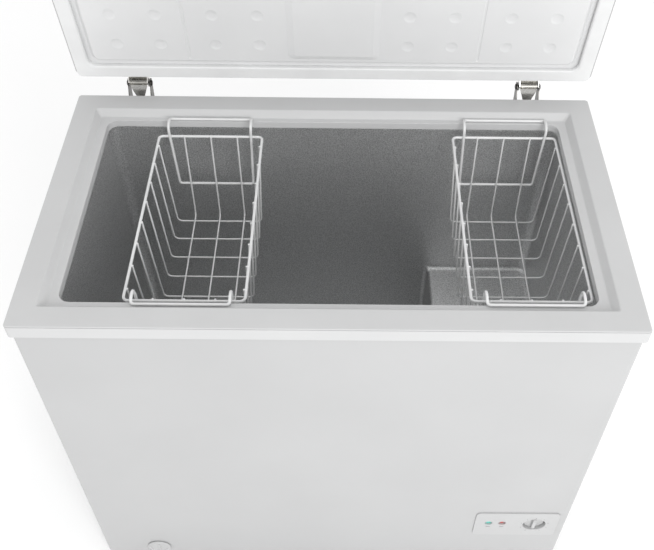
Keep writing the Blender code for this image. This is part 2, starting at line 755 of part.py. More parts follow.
def make_thermostat():
    """Body behind the knob, bored for its shaft."""
    back = KNOB_AT.y + KNOB_WELL_DEPTH + 0.0015
    low = (KNOB_AT.x - 0.024, back, KNOB_AT.z - 0.018)
    high = (KNOB_AT.x + 0.024, back + 0.026, KNOB_AT.z + 0.018)
    work = box_mesh(low, high)
    bmesh.ops.bevel(work, geom=list(work.edges), offset=0.002, segments=1, affect="EDGES")
    body = finish("thermostat_body", work, "zinc")
    bore = rod(0.0036, -0.0235, 0.01, 12, KNOB_AT, "Y")
    return cut(body, finish("thermostat_bore", bore, "zinc"))


def make_drain():
    """Elbow tube from the tank's floor to the front, its cap, and the plug in the tank."""
    low, out = DRAIN_AT.z, BODY_FRONT - 0.0002
    route = [
        (DRAIN_AT.x, DRAIN_FLOOR_Y, TANK_FLOOR - LINER_WALL - GAP),
        (DRAIN_AT.x, DRAIN_FLOOR_Y, low),
        (DRAIN_AT.x, out, low),
    ]
    tube = as_mesh(pipe("drain_tube", fillet(route, 0.014), DRAIN_TUBE_R, "soft_white", sides=12))
    above = (DRAIN_AT.x, DRAIN_FLOOR_Y, TANK_FLOOR + 0.02)
    before = (DRAIN_AT.x, out - 0.02, low)
    inner = fillet([above, route[1], before], 0.014)
    bore = as_mesh(pipe("drain_bore", inner, DRAIN_BORE_R, "soft_white", sides=12))
    cut(tube, bore)
    stub = DRAIN_BORE_R - 0.0008
    profile = [
        (0, 0.0045),
        (DRAIN_CAP_R - 0.003, 0.0045),
        (DRAIN_CAP_R, 0.0030),
        (DRAIN_CAP_R, GAP + 0.0004),
        (DRAIN_TUBE_R, GAP + 0.0004),
        (stub, GAP + 0.0004),
        (stub, -0.018),
        (0, -0.018),
    ]
    finish("drain_cap", turned(profile, 24, DRAIN_AT, "Y"), "white_plastic")
    profile = [(0, -0.010), (stub - 0.001, -0.010), (stub, GAP), (0.013, GAP), (0.013, 0.003)]
    profile += [(0.005, 0.0045), (0.004, 0.012), (0, 0.013)]
    plug = turned(profile, 16, (DRAIN_AT.x, DRAIN_FLOOR_Y, TANK_FLOOR))
    finish("tank_drain_plug", plug, "soft_white")


# Hinges


def screw_spots():
    spots = []
    for side in (-1, 1):
        for end in (-1, 1):
            spots.append(Vector((side * HINGE_X + end * SCREW_SPREAD, BODY_BACK, SCREW_Z)))
    return spots


def plate_across(outline, low_x, high_x):
    """A plate cut to a (y, z) outline, between two X planes."""
    work = bmesh.new()
    loft(work, [[(x, y, z) for y, z in outline] for x in (low_x, high_x)])
    return work


def arc(middle, radius, start, end, steps=6):
    """Points of an arc in the YZ plane, angles in degrees from +Y towards +Z."""
    points = []
    for i in range(steps + 1):
        angle = math.radians(start + (end - start) * i / steps)
        points.append((middle[0] + radius * math.cos(angle), middle[1] + radius * math.sin(angle)))
    return points


def make_bracket(name, x):
    """Cabinet half of a hinge: back plate with wings, two ears and a seat for the spring."""
    face = BODY_BACK + GAP
    outer = EAR_X + PLATE
    plate = box_mesh((x - outer, face, BRACKET_LOW), (x + outer, face + PLATE, BRACKET_HIGH))
    bracket = finish(name, plate, "zinc")
    wing_low = (x - SCREW_SPREAD - 0.008, face, SCREW_Z - 0.014)
    wing_high = (x + SCREW_SPREAD + 0.008, face + PLATE, SCREW_Z + 0.014)
    join(bracket, finish(name + "_wings", box_mesh(wing_low, wing_high), "zinc"))
    outline = [
        (face, BRACKET_LOW),
        (BACK_Y + 0.018, BRACKET_LOW),
        (HINGE_Y + 0.004, COLLAR_TOP - 0.040),
    ]
    outline += arc((HINGE_Y, HINGE_Z), 0.009, -20, 200)
    outline += [(BACK_Y + 0.003, COLLAR_TOP - 0.006), (BACK_Y + 0.002, BRACKET_HIGH), (face, BRACKET_HIGH)]
    for side in (-1, 1):
        inner, out = sorted((x + side * EAR_X, x + side * outer))
        ear = finish(f"{name}_ear_{side}", plate_across(outline, inner, out), "zinc")
        join(bracket, ear)
    seat_low = (x - EAR_X - 0.0005, face + 0.0005, BRACKET_LOW)
    seat_high = (x + EAR_X + 0.0005, BACK_Y + 0.0175, BRACKET_LOW + 0.002)
    join(bracket, finish(name + "_seat", box_mesh(seat_low, seat_high), "zinc"))
    hole = rod(0.0048, -0.01, 0.01, 12, (x, PLUNGER_Y, BRACKET_LOW))
    cut(bracket, finish(name + "_rod_hole", hole, "zinc"))
    hole = rod(PIN_R + 0.0003, -0.04, 0.04, 12, (x, HINGE_Y, HINGE_Z), "X")
    cut(bracket, finish(name + "_pin_hole", hole, "zinc"))
    for end in (-1, 1):
        spot = (x + end * SCREW_SPREAD, BODY_BACK, SCREW_Z)
        cut(bracket, finish(f"{name}_screw_{end}", rod(0.0024, -0.01, 0.01, 8, spot, "Y"), "zinc"))
    return freeze(bracket)


def make_leaf(name, x, parent):
    """Lid half of a hinge: web on the lid's back, shelf, two cheeks and the cam bar."""
    web_face = LID_BACK + GAP
    outer = CHEEK_X + PLATE
    web = box_mesh((x - outer, web_face, LID_LOW), (x + outer, web_face + PLATE, LID_HIGH - 0.008))
    leaf = finish(name, web, "zinc")
    shelf = box_mesh((x - outer, web_face + 0.0005, LID_LOW), (x + outer, -0.0060, LID_LOW + PLATE))
    join(leaf, finish(name + "_shelf", shelf, "zinc"))
    outline = [(web_face + 0.0004, LID_LOW - 0.0004), (CAM_REACH * -0.9, -0.0104)]
    outline += arc((0, 0), 0.0070, -110, 120)
    outline += [(web_face + 0.006, LID_HIGH - 0.009), (web_face + 0.0004, LID_HIGH - 0.009)]
    for side in (-1, 1):
        inner, out = sorted((x + side * CHEEK_X, x + side * outer))
        join(leaf, finish(f"{name}_cheek_{side}", plate_across(outline, inner, out), "zinc"))
    shut_cam = CAM_ANGLE + OPEN_ANGLE
    cam = (x, CAM_REACH * math.cos(shut_cam), CAM_REACH * math.sin(shut_cam))
    bar = rod(CAM_R, -CHEEK_X - 0.0005, CHEEK_X + 0.0005, 12, cam, "X")
    join(leaf, finish(name + "_cam", bar, "zinc"))
    hole = rod(PIN_R + 0.0003, -0.04, 0.04, 12, (x, 0, 0), "X")
    cut(leaf, finish(name + "_pin_hole", hole, "zinc"))
    freeze(leaf)
    leaf.parent = parent
    return leaf


def make_pin(name, x):
    """Headed hinge pin through the ears and the cheeks."""
    grip = EAR_X + PLATE + GAP
    profile = [
        (0, -grip - 0.002),
        (0.0045, -grip - 0.002),
        (0.0052, -grip),
        (PIN_R, -grip),
        (PIN_R, grip),
        (0.0052, grip),
        (0.0045, grip + 0.002),
        (0, grip + 0.002),
    ]
    return finish(name, turned(profile, 12, (x, HINGE_Y, HINGE_Z), "X"), "zinc")


def make_plunger(name, x):
    """Wedge-shaped head under the cam bar, with a rod that runs down through the spring."""
    half = CHEEK_X - 0.0015
    front, back = PLUNGER_Y - 0.0035, PLUNGER_Y + 0.0035
    outline = [
        (-half, PLUNGER_TOP),
        (-half, PLUNGER_TOP - 0.004),
        (-0.006, PLUNGER_TOP - 0.030),
        (-0.006, SPRING_HIGH + GAP),
        (0.006, SPRING_HIGH + GAP),
        (0.006, PLUNGER_TOP - 0.030),
        (half, PLUNGER_TOP - 0.004),
        (half, PLUNGER_TOP),
    ]
    work = bmesh.new()
    loft(work, [[(x + across, y, z) for across, z in outline] for y in (front, back)])
    plunger = finish(name, work, "zinc")
    shaft = rod(0.0040, BRACKET_LOW - 0.012, SPRING_HIGH + 0.003, 12, (x, PLUNGER_Y, 0))
    join(plunger, finish(name + "_rod", shaft, "zinc"))
    return freeze(plunger)


def make_spring(name, x):
    """Compression spring between the bracket's seat and the plunger's head."""
    turns, steps, wire = 8, 8, 0.0012
    low, high = SPRING_LOW + wire - 0.0012 + GAP, SPRING_HIGH - wire - GAP
    path = []
    for i in range(turns * steps + 1):
        angle = 2 * math.pi * i / steps
        z = low + (high - low) * i / (turns * steps)
        path.append((x + SPRING_R * math.cos(angle), PLUNGER_Y + SPRING_R * math.sin(angle), z))
    return pipe(name, path, wire, "spring_steel", sides=4)


def make_screws():
    """Pan-head screws that hold the brackets to the back."""
    under = GAP + PLATE + GAP
    profile = [
        (0, -under - 0.0025),
        (0.0030, -under - 0.0025),
        (0.0044, -under - 0.0012),
        (0.0044, -under),
        (0.0020, -under),
        (0.0020, 0.0035),
        (0, 0.0050),
    ]
    names = ("hinge_screw_left_1", "hinge_screw_left_2", "hinge_screw_right_1", "hinge_screw_right_2")
    for name, spot in zip(names, screw_spots()):
        finish(name, turned(profile, 10, spot, "Y"), "zinc")


# Lid


def lid_loop(inset, z, radius):
    half = WIDTH / 2 - inset, DEPTH / 2 - inset
    return rounded_loop(*half, radius, z, (0, LID_MIDDLE_Y))


def make_lid_shell(parent):
    """Steel pan, open underneath, with its lower edge folded in."""
    sheet = LID_SHEET
    work = bmesh.new()
    loops = [
        lid_loop(0.0060, LID_HIGH, 0.006),
        lid_loop(0.0018, LID_HIGH - 0.0018, 0.009),
        lid_loop(0, LID_HIGH - 0.006, 0.010),
        lid_loop(0, LID_LOW, 0.010),
        lid_loop(LID_FLANGE, LID_LOW, 0.006),
        lid_loop(LID_FLANGE, LID_LOW + sheet, 0.006),
        lid_loop(sheet, LID_LOW + sheet, 0.009),
        lid_loop(sheet, LID_HIGH - 0.0062, 0.009),
        lid_loop(0.0026, LID_HIGH - 0.0026, 0.008),
        lid_loop(0.0064, LID_HIGH - sheet, 0.006),
    ]
    loft(work, loops)
    return finish("lid_shell", work, "white_steel", parent)


def make_lid_liner(parent):
    """Formed plastic sheet that closes the lid, with its panel stepped towards the tank."""
    drop = LINER_PANEL_DROP
    work = bmesh.new()
    loops = [
        lid_loop(0.0460, LID_LOW - drop, 0.012),
        lid_loop(0.0380, LID_LOW - 0.0018, 0.016),
        lid_loop(0.0080, LID_LOW - 0.0018, 0.008),
        lid_loop(0.0080, LID_LOW - GAP, 0.008),
        lid_loop(0.0390, LID_LOW - GAP, 0.016),
        lid_loop(0.0470, LID_LOW - drop + 0.0015, 0.012),
    ]
    loft(work, loops)
    return finish("lid_liner", work, "white_plastic", parent)


def make_lid_insulation(parent):
    work = bmesh.new()
    loops = [
        lid_loop(0.0080, LID_HIGH - LID_SHEET - GAP, 0.006),
        lid_loop(0.0016, LID_HIGH - 0.0085, 0.008),
        lid_loop(0.0016, LID_LOW + LID_SHEET + GAP, 0.008),
        lid_loop(LID_FLANGE + GAP, LID_LOW + LID_SHEET + GAP, 0.006),
        lid_loop(LID_FLANGE + GAP, LID_LOW, 0.006),
        lid_loop(0.0400, LID_LOW, 0.016),
        lid_loop(0.0480, LID_LOW - LINER_PANEL_DROP + 0.0022, 0.012),
    ]
    loft(work, loops)
    return finish("lid_insulation", work, "foam", parent)


def make_gasket(parent):
    """Hollow-bellows gasket, drawn solid, round the liner's panel."""
    work = bmesh.new()
    loops = [
        lid_loop(0.0070, GASKET_HIGH, 0.009),
        lid_loop(0.0055, GASKET_HIGH - 0.0030, 0.010),
        lid_loop(0.0070, GASKET_LOW + 0.0010, 0.009),
        lid_loop(0.0090, GASKET_LOW, 0.008),
        lid_loop(0.0320, GASKET_LOW, 0.014),
        lid_loop(0.0345, GASKET_LOW + 0.0015, 0.014),
        lid_loop(0.0350, GASKET_HIGH - 0.0020, 0.014),
        lid_loop(0.0330, GASKET_HIGH, 0.014),
    ]
    loft(work, loops, cyclic=True)
    return finish("lid_gasket", work, "soft_white", parent)


def make_handle(parent):
    """Moulded grip along the front edge: a back strip with a lip to lift by."""
    face = LID_FRONT - GAP
    top = LID_HIGH - 0.008
    section = [
        (face, LID_LOW + 0.002),
        (face, top),
        (face - 0.004, top + 0.001),
        (face - 0.018, top - 0.004),
        (face - 0.024, top - 0.012),
        (face - 0.023, top - 0.021),
        (face - 0.020, top - 0.021),
        (face - 0.019, top - 0.013),
        (face - 0.014, top - 0.008),
        (face - 0.003, top - 0.005),
        (face - 0.003, LID_LOW + 0.002),
    ]
    work = bmesh.new()
    loft(work, [[(x, y, z) for y, z in section] for x in (-GRIP_HALF, GRIP_HALF)])
    ends = [edge for edge in work.edges if abs(edge.verts[0].co.x) == abs(edge.verts[1].co.x)]
    ends = [edge for edge in ends if edge.verts[0].co.x == edge.verts[1].co.x]
    bmesh.ops.recalc_face_normals(work, faces=work.faces)
    bmesh.ops.bevel(work, geom=ends, offset=0.0008, segments=1, affect="EDGES")
    return finish("lid_handle", work, "white_plastic", parent)


# Baskets


def hanger_path(end):
    """A closed loop of wire: end bar on the ledge, over the rim, down inside and across."""
    rim_y = end * RIM_LENGTH / 2
    bar_y = rim_y + end * HANGER_REACH
    inside_y = rim_y - end * (RIM_WIRE * 2 - 0.0006)
    crest = COLLAR_TOP - 0.0042
    half = HANGER_WIDTH / 2
    low_half = half - 0.004
    side = [
        (half, bar_y, HANGER_Z),
        (half, bar_y - end * 0.009, crest),
        (half, inside_y + end * 0.006, crest),
        (half, inside_y, crest - 0.008),
        (low_half, inside_y, RIM_Z - HANGER_DROP),
    ]
    other = [(-x, y, z) for x, y, z in reversed(side)]
    return fillet(side + other, 0.006, cyclic=True)


def make_basket():
    """One welded basket about its own middle: rim, hoops, long wires and two hangers."""
    half_x, half_y = RIM_WIDTH / 2, RIM_LENGTH / 2
    corners = [(1, 1), (-1, 1), (-1, -1), (1, -1)]
    rim = fillet([(x * half_x, y * half_y, RIM_Z) for x, y in corners], 0.008, cyclic=True)
    basket = as_mesh(pipe("basket", rim, RIM_WIRE, "white_wire", cyclic=True))
    wires = []
    low_x, low_y = half_x - SIDE_TAPER, half_y - END_TAPER
    spacing = (RIM_LENGTH - FIRST_HOOP - LAST_HOOP) / (HOOPS - 1)
    for i in range(HOOPS):
        y = half_y - FIRST_HOOP - i * spacing
        hoop = [(-half_x, y, RIM_Z), (-low_x, y, BASKET_BOTTOM)]
        hoop += [(low_x, y, BASKET_BOTTOM), (half_x, y, RIM_Z)]
        wires.append(pipe(f"hoop_{i}", fillet(hoop, 0.010, 2), THIN_WIRE, "white_wire"))
    above = BASKET_BOTTOM + 2 * THIN_WIRE - 0.0005
    for i in (-1, 0, 1):
        x = i * RAIL_SPREAD
        rail = [(x, half_y, RIM_Z), (x, low_y, above), (x, -low_y, above), (x, -half_y, RIM_Z)]
        wires.append(pipe(f"rail_{i}", fillet(rail, 0.010, 2), THIN_WIRE, "white_wire"))
    for end in (-1, 1):
        wires.append(pipe(f"hanger_{end}", hanger_path(end), RIM_WIRE, "white_wire", cyclic=True))
    for wire in wires:
        join(basket, as_mesh(wire))
    return freeze(basket)


def make_baskets():
    left = make_basket()
    left.name = "basket_left"
    left.location = LEFT_BASKET
    right = left.copy()
    right.name = "basket_right"
    right.location = RIGHT_BASKET
    bpy.context.collection.objects.link(right)


def make_cabinet():
    make_collar()
    make_wrapper()
    make_rear_panel()
    make_tank()
    make_insulation()
    make_base_pan()
    make_base_plate()
    make_divider()
    make_grille()
    make_gland()
    make_feet()


def make_machine():
    make_compressor()
    make_mounts()
    make_relay_cover()
    make_drier()
    make_machine_pipes()
    make_coils()


def make_front():
    make_panel()
    make_lamps()
    make_knob()
    make_thermostat()
    make_drain()


def make_hinges(lid_axis):
    for name, side in (("left", -1), ("right", 1)):
        x = side * HINGE_X
        make_bracket(f"hinge_bracket_{name}", x)
        make_pin(f"hinge_pin_{name}", x)
        make_plunger(f"hinge_plunger_{name}", x)
        make_spring(f"hinge_spring_{name}", x)
        make_leaf(f"hinge_leaf_{name}", x, lid_axis)
    make_screws()


def make_lid():
    axis = bpy.data.objects.new("lid_hinge_axis", None)
    bpy.context.collection.objects.link(axis)
    make_lid_shell(axis)
    make_lid_liner(axis)
    make_lid_insulation(axis)
    make_gasket(axis)
    make_handle(axis)
    axis.location = (0, HINGE_Y, HINGE_Z)
    axis.rotation_euler = (-OPEN_ANGLE, 0, 0)
    return axis


def main():
    clear_scene()
    make_cabinet()
    make_machine()
    make_front()
    make_hinges(make_lid())
    make_baskets()
    bpy.context.view_layer.update()


main()
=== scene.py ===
import math

import bmesh
import bpy
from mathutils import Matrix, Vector


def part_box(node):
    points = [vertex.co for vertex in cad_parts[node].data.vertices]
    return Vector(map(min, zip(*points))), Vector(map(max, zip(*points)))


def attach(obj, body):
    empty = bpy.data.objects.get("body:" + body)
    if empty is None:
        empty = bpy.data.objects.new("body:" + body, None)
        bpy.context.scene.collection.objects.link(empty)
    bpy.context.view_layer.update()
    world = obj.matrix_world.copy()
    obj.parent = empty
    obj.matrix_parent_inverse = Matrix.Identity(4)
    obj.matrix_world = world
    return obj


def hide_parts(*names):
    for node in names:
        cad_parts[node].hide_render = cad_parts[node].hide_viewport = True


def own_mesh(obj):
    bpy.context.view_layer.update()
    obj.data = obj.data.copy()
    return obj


bl_info = {
    "name": "Chest Freezer",
    "version": (1, 0, 0),
    "blender": (4, 5, 0),
    "location": "View3D > Sidebar > Freezer",
    "description": "Models an open chest freezer piece by piece round its fixed frame",
    "category": "Object",
}

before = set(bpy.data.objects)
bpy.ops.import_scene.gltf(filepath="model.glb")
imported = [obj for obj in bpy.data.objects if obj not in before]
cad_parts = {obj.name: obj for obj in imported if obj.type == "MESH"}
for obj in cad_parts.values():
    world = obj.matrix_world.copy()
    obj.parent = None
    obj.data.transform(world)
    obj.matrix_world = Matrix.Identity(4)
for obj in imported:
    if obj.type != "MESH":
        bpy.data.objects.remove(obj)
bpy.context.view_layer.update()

COLLAR_LOW, COLLAR_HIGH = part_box("top_collar")
WRAP_LOW, WRAP_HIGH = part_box("outer_wrapper")
REAR_LOW, REAR_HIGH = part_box("rear_panel")
TANK_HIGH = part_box("tank_liner")[1]
PANEL_LOW, PANEL_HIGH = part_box("control_panel")
GREEN_LOW, GREEN_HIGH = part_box("power_lamp_green")
RED_LOW, RED_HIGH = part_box("alarm_lamp_red")
KNOB_LOW, KNOB_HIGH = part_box("thermostat_knob")
DRAIN_LOW, DRAIN_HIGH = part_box("drain_cap")
PLUG_LOW, PLUG_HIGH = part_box("tank_drain_plug")
PIN_LOW, PIN_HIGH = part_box("hinge_pin_right")
BRACKET_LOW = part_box("hinge_bracket_right")[0]
PLUNGER_LOW, PLUNGER_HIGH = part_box("hinge_plunger_right")
SPRING_LOW, SPRING_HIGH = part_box("hinge_spring_right")
GRILLE_LOW, GRILLE_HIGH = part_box("rear_grille")
GLAND_LOW, GLAND_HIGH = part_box("cord_gland")
POT_LOW, POT_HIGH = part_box("compressor")
FOOT_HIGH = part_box("foot_1")[1]
HANDLE_LOW, HANDLE_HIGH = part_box("lid_handle")

MIDDLE_Y = (COLLAR_LOW.y + COLLAR_HIGH.y) / 2
TOP = COLLAR_HIGH.z
PIN_Y = (PIN_LOW.y + PIN_HIGH.y) / 2
PIN_Z = (PIN_LOW.z + PIN_HIGH.z) / 2
LID_UNDER = -0.0013  # underside of the shut lid's edge, from the hinge axis
LID_MIDDLE_Y = MIDDLE_Y - PIN_Y


def length(name, text, default):
    """A size in metres for the sidebar."""
    return bpy.props.FloatProperty(
        name=name, description=text, default=default, precision=4, unit="LENGTH"
    )


def colour(name, text, default):
    """A colour for the sidebar."""
    return bpy.props.FloatVectorProperty(
        name=name, description=text, default=default, subtype="COLOR", size=3, min=0, max=1
    )


class FreezerCabinetSizes(bpy.types.PropertyGroup):
    width: length("Width", "Across the collar", COLLAR_HIGH.x - COLLAR_LOW.x)
    depth: length("Depth", "Front to back over the collar", COLLAR_HIGH.y - COLLAR_LOW.y)
    flat_width: length("Flat", "Flat top of the collar", 0.039)
    ledge_start: length("Ledge inset", "Where the slope meets the ledge", 0.049)
    ledge_depth: length("Ledge depth", "Ledge below the collar's top", 0.012)
    skirt_inset_x: length("Skirt inset X", "Skirt from the collar's side", 0.0635)
    skirt_inset_y: length("Skirt inset Y", "Skirt from the collar's front", 0.0585)
    skirt_depth: length("Skirt depth", "Skirt's edge below the collar's top", 0.026)
    collar_wall: length("Collar wall", "Thickness of the moulded collar", 0.0025)
    corner_line: length("Corner line", "Width of the fine groove below the top edge", 0.0014)
    sheet: length("Sheet", "Thickness of the steel sheets", 0.0008)
    fold_radius: length("Fold radius", "Outside radius of the body's corners", 0.005)
    tank_half_x: length("Tank half width", "Inside the tank", 0.412)
    tank_half_y: length("Tank half depth", "Inside the tank", 0.217)
    tank_floor: length("Tank floor", "Floor of the tank above the ground", 0.080)
    tank_corner: length("Tank corner", "Radius of the tank's upright corners", 0.020)
    step_left: length("Step", "Left face of the compressor step", 0.202)
    step_top: length("Step top", "Top of the compressor step", 0.388)


class FreezerLidSizes(bpy.types.PropertyGroup):
    open_angle: bpy.props.FloatProperty(
        name="Lid angle",
        description="How far the lid stands open",
        default=math.radians(81.5),
        subtype="ANGLE",
    )
    thickness: length("Thickness", "Edge of the lid", 0.041)
    panel_drop: length("Panel drop", "Inner panel stepped towards the tank", 0.009)
    gasket_outer: length("Gasket outer", "Gasket from the lid's edge", 0.0055)
    gasket_inner: length("Gasket inner", "Inner side of the gasket from the lid's edge", 0.0320)
    dimple_radius: length("Dimple radius", "Round dimples in the inner panel", 0.0122)
    dimple_depth: length("Dimple depth", "Depth of the round dimples", 0.0015)
    dimple_pitch: length("Dimple pitch", "From one row of dimples to the next", 0.065)
    groove_at: length("Groove", "Long grooves from the middle of the lid", 0.256)
    groove_width: length("Groove width", "Width of the long grooves", 0.0055)
    centre_half: length("Centre half width", "Raised field in the middle", 0.082)
    centre_rise: length("Centre rise", "How far the middle field stands out", 0.0030)


class FreezerBasketSizes(bpy.types.PropertyGroup):
    rim_wire: length("Rim wire", "Radius of the rim's and hangers' wire", 0.0025)
    thin_wire: length("Thin wire", "Radius of the hoops and long wires", 0.0016)
    rim_width: length("Rim width", "Across the basket", 0.187)
    rim_length: length("Rim length", "Front to back over the basket's rim", 0.389)
    rim_below: length("Rim below top", "Rim below the collar's top", 0.030)
    bottom_below: length("Bottom below top", "Basket's bottom below the collar's top", 0.220)
    hoops: bpy.props.IntProperty(name="Hoops", description="Cross wires", default=8, min=2, max=20)


class FreezerFittingSizes(bpy.types.PropertyGroup):
    lamp_radius: length("Lamp", "Radius of a lamp's opening", 0.0072)
    knob_radius: length("Knob", "Radius of the thermostat knob", 0.0200)
    well_radius: length("Knob well", "Radius of the knob's well", 0.0225)
    plate: length("Hinge plate", "Thickness of the hinges' plates", 0.0015)
    cheek: length("Cheek", "Inner face of the lid leaf's cheeks from its middle", 0.0165)
    ear: length("Ear", "Inner face of the bracket's ears from its middle", 0.0196)


class FreezerColours(bpy.types.PropertyGroup):
    body: colour("Body", "Coated steel sheets", (0.436, 0.438, 0.440))
    collar: colour("Collar", "Moulded collar and lid lining", (0.520, 0.522, 0.524))
    gasket: colour("Gasket", "Soft lid gasket", (0.740, 0.743, 0.744))
    wire: colour("Wire", "Coating of the baskets", (0.690, 0.693, 0.693))
    tank: colour("Tank", "Embossed aluminium", (0.650, 0.654, 0.656))
    nickel: colour("Nickel", "Plated hinges", (0.760, 0.750, 0.725))
    green: colour("Green lamp", "Lens of the power lamp", (0.020, 0.330, 0.270))
    red: colour("Red lamp", "Lens of the warning lamp", (0.400, 0.020, 0.014))
    floor: colour("Floor", "Studio floor", (0.960, 0.960, 0.960))


# Modelling


def select_only(*things):
    bpy.ops.object.select_all(action="DESELECT")
    for thing in things:
        thing.select_set(True)
    bpy.context.view_layer.objects.active = things[0]


def added(name):
    """The object that an operator has just added, under its own name."""
    thing = bpy.context.active_object
    thing.name = name
    thing.data.name = name
    return thing


def edit(thing, kind="VERT"):
    """Opens an object in edit mode with all of it selected."""
    select_only(thing)
    bpy.ops.object.mode_set(mode="EDIT")
    bpy.ops.mesh.select_mode(type=kind)
    bpy.ops.mesh.select_all(action="SELECT")


def leave():
    bpy.ops.object.mode_set(mode="OBJECT")


def pick(thing, kind, test):
    """Selects the vertices, edges or faces of the open mesh that pass a test."""
    bpy.ops.mesh.select_mode(type=kind)
    bpy.ops.mesh.select_all(action="DESELECT")
    work = bmesh.from_edit_mesh(thing.data)
    for part in {"VERT": work.verts, "EDGE": work.edges, "FACE": work.faces}[kind]:
        if test(part):
            part.select_set(True)
    work.select_flush_mode()
    bmesh.update_edit_mesh(thing.data)


def closed_up(thing):
    """Merges the seams of a closed mesh and points its faces outwards."""
    edit(thing)
    bpy.ops.mesh.remove_doubles(threshold=0.000002)
    bpy.ops.mesh.normals_make_consistent(inside=False)
    leave()
    return thing


def placed(thing, spot=(0, 0, 0), turn=(0, 0, 0)):
    """Turns and moves an object, then works that into its mesh."""
    thing.rotation_euler = turn
    thing.location = spot
    select_only(thing)
    bpy.ops.object.transform_apply(location=True, rotation=True, scale=True)
    return thing


def joined(name, *things):
    """Several objects made one, under a new name."""
    select_only(*things)
    bpy.ops.object.join()
    return added(name)


def copied(thing, name, shift=(0, 0, 0)):
    """A copy with its own mesh, moved to its place."""
    select_only(thing)
    bpy.ops.object.duplicate(linked=False)
    return placed(added(name), shift)


def apply_all(thing):
    """Applies every modifier in order."""
    select_only(thing)
    for step in list(thing.modifiers):
        bpy.ops.object.modifier_apply(modifier=step.name)
    return thing


def combined(thing, other, operation):
    """Adds or cuts away another closed mesh, which is used up."""
    step = thing.modifiers.new("shape", "BOOLEAN")
    step.operation = operation
    step.solver = "EXACT"
    step.object = other
    apply_all(thing)
    bpy.data.objects.remove(other, do_unlink=True)
    return thing


def cut_away(thing, cutter):
    return combined(thing, cutter, "DIFFERENCE")


def fused(thing, other):
    return combined(thing, other, "UNION")


def softened(thing, width, segments=2, angle=30):
    """Rounds the edges that are sharper than an angle."""
    step = thing.modifiers.new("edges", "BEVEL")
    step.width = width
    step.segments = segments
    step.limit_method = "ANGLE"
    step.angle_limit = math.radians(angle)
    step.use_clamp_overlap = True
    return apply_all(thing)


def smoothed(thing, angle=30, weighted=True):
    """Smooth shading that keeps sharp edges and flat faces."""
    select_only(thing)
    bpy.ops.object.shade_smooth_by_angle(angle=math.radians(angle))
    if weighted:
        step = thing.modifiers.new("normals", "WEIGHTED_NORMAL")
        step.keep_sharp = True
        apply_all(thing)
    return thing


def repeated(thing, count, shift):
    """A row of the same shape in one mesh, each a step on from the last."""
    step = thing.modifiers.new("row", "ARRAY")
    step.use_relative_offset = False
    step.use_constant_offset = True
    step.constant_offset_displace = shift
    step.count = count
    return apply_all(thing)


def drawn_line(name, points, filled=False):
    """Edges through points, drawn by extruding one point from place to place."""
    bpy.ops.object.select_all(action="DESELECT")
    bpy.ops.mesh.primitive_plane_add(size=0.01)
    line = added(name)
    edit(line)
    bpy.ops.mesh.merge(type="CENTER")
    bpy.ops.transform.translate(value=points[0])
    for here, there in zip(points, points[1:]):
        step = Vector(there) - Vector(here)
        bpy.ops.mesh.extrude_region_move(TRANSFORM_OT_translate={"value": step})
    if filled:
        bpy.ops.mesh.select_all(action="SELECT")
        bpy.ops.mesh.edge_face_add()
    leave()
    return line


def round_corners(line, radius, segments=5, test=None):
    """Rounds the corners of a line or a flat outline."""
    edit(line)
    pick(line, "VERT", lambda v: len(v.link_edges) == 2 and (test is None or test(v.co)))
    bpy.ops.mesh.bevel(offset=radius, segments=segments, affect="VERTICES")
    leave()
    return line


def wire(name, points, radius, corner=0.0, loop=False, sides=12):
    """A bent round wire with closed ends."""
    line = drawn_line(name, points, filled=loop)
    if loop:
        edit(line)
        bpy.ops.mesh.delete(type="ONLY_FACE")
        leave()
    if corner:
        round_corners(line, corner)
    select_only(line)
    bpy.ops.object.convert(target="CURVE")
    bent = added(name)
    bent.data.bevel_depth = radius
    bent.data.bevel_resolution = (sides - 4) // 2
    bent.data.use_fill_caps = not loop
    bpy.ops.object.convert(target="MESH")
    return closed_up(added(name))


def turned(name, profile, spot=(0, 0, 0), turn=(0, 0, 0), steps=48, ring=False):
    """Spins (radius, height) points round an axis. A ring's profile closes on itself."""
    outline = drawn_line(name, [(radius, 0, height) for radius, height in profile], filled=ring)
    edit(outline)
    if ring:
        bpy.ops.mesh.delete(type="ONLY_FACE")
        bpy.ops.mesh.select_all(action="SELECT")
    bpy.ops.mesh.spin(steps=steps, angle=math.tau, center=(0, 0, 0), axis=(0, 0, 1))
    leave()
    closed_up(outline)
    return placed(outline, spot, turn)


TO_FRONT = (math.radians(90), 0, 0)
TO_BACK = (math.radians(-90), 0, 0)
TO_RIGHT = (0, math.radians(90), 0)


def plate(name, outline, depth):
    """A flat outline drawn as a face and extruded by a vector."""
    slab = drawn_line(name, outline, filled=True)
    edit(slab, "FACE")
    bpy.ops.mesh.extrude_region_move(TRANSFORM_OT_translate={"value": depth})
    leave()
    return closed_up(slab)


def block(name, low, high, edge=0.0, segments=2):
    """A squared piece between two corners, with its edges rounded."""
    low, high = Vector(low), Vector(high)
    slab = drawn_line(
        name,
        [low, (high.x, low.y, low.z), (high.x, high.y, low.z), (low.x, high.y, low.z)],
        filled=True,
    )
    edit(slab, "FACE")
    bpy.ops.mesh.extrude_region_move(TRANSFORM_OT_translate={"value": (0, 0, high.z - low.z)})
    leave()
    closed_up(slab)
    return softened(slab, edge, segments) if edge else slab


def ring_spot(level, seat, middle, segments):
    """Place of one point of a rounded rectangle, counted round from its right side."""
    half_x, half_y, z, radius = level
    quarter, step = divmod(seat, segments + 1)
    angle = math.radians(90) * (quarter + step / segments)
    x = half_x - radius if quarter in (0, 3) else radius - half_x
    y = half_y - radius if quarter in (0, 1) else radius - half_y
    return Vector(
        (middle[0] + x + radius * math.cos(angle), middle[1] + y + radius * math.sin(angle), z)
    )


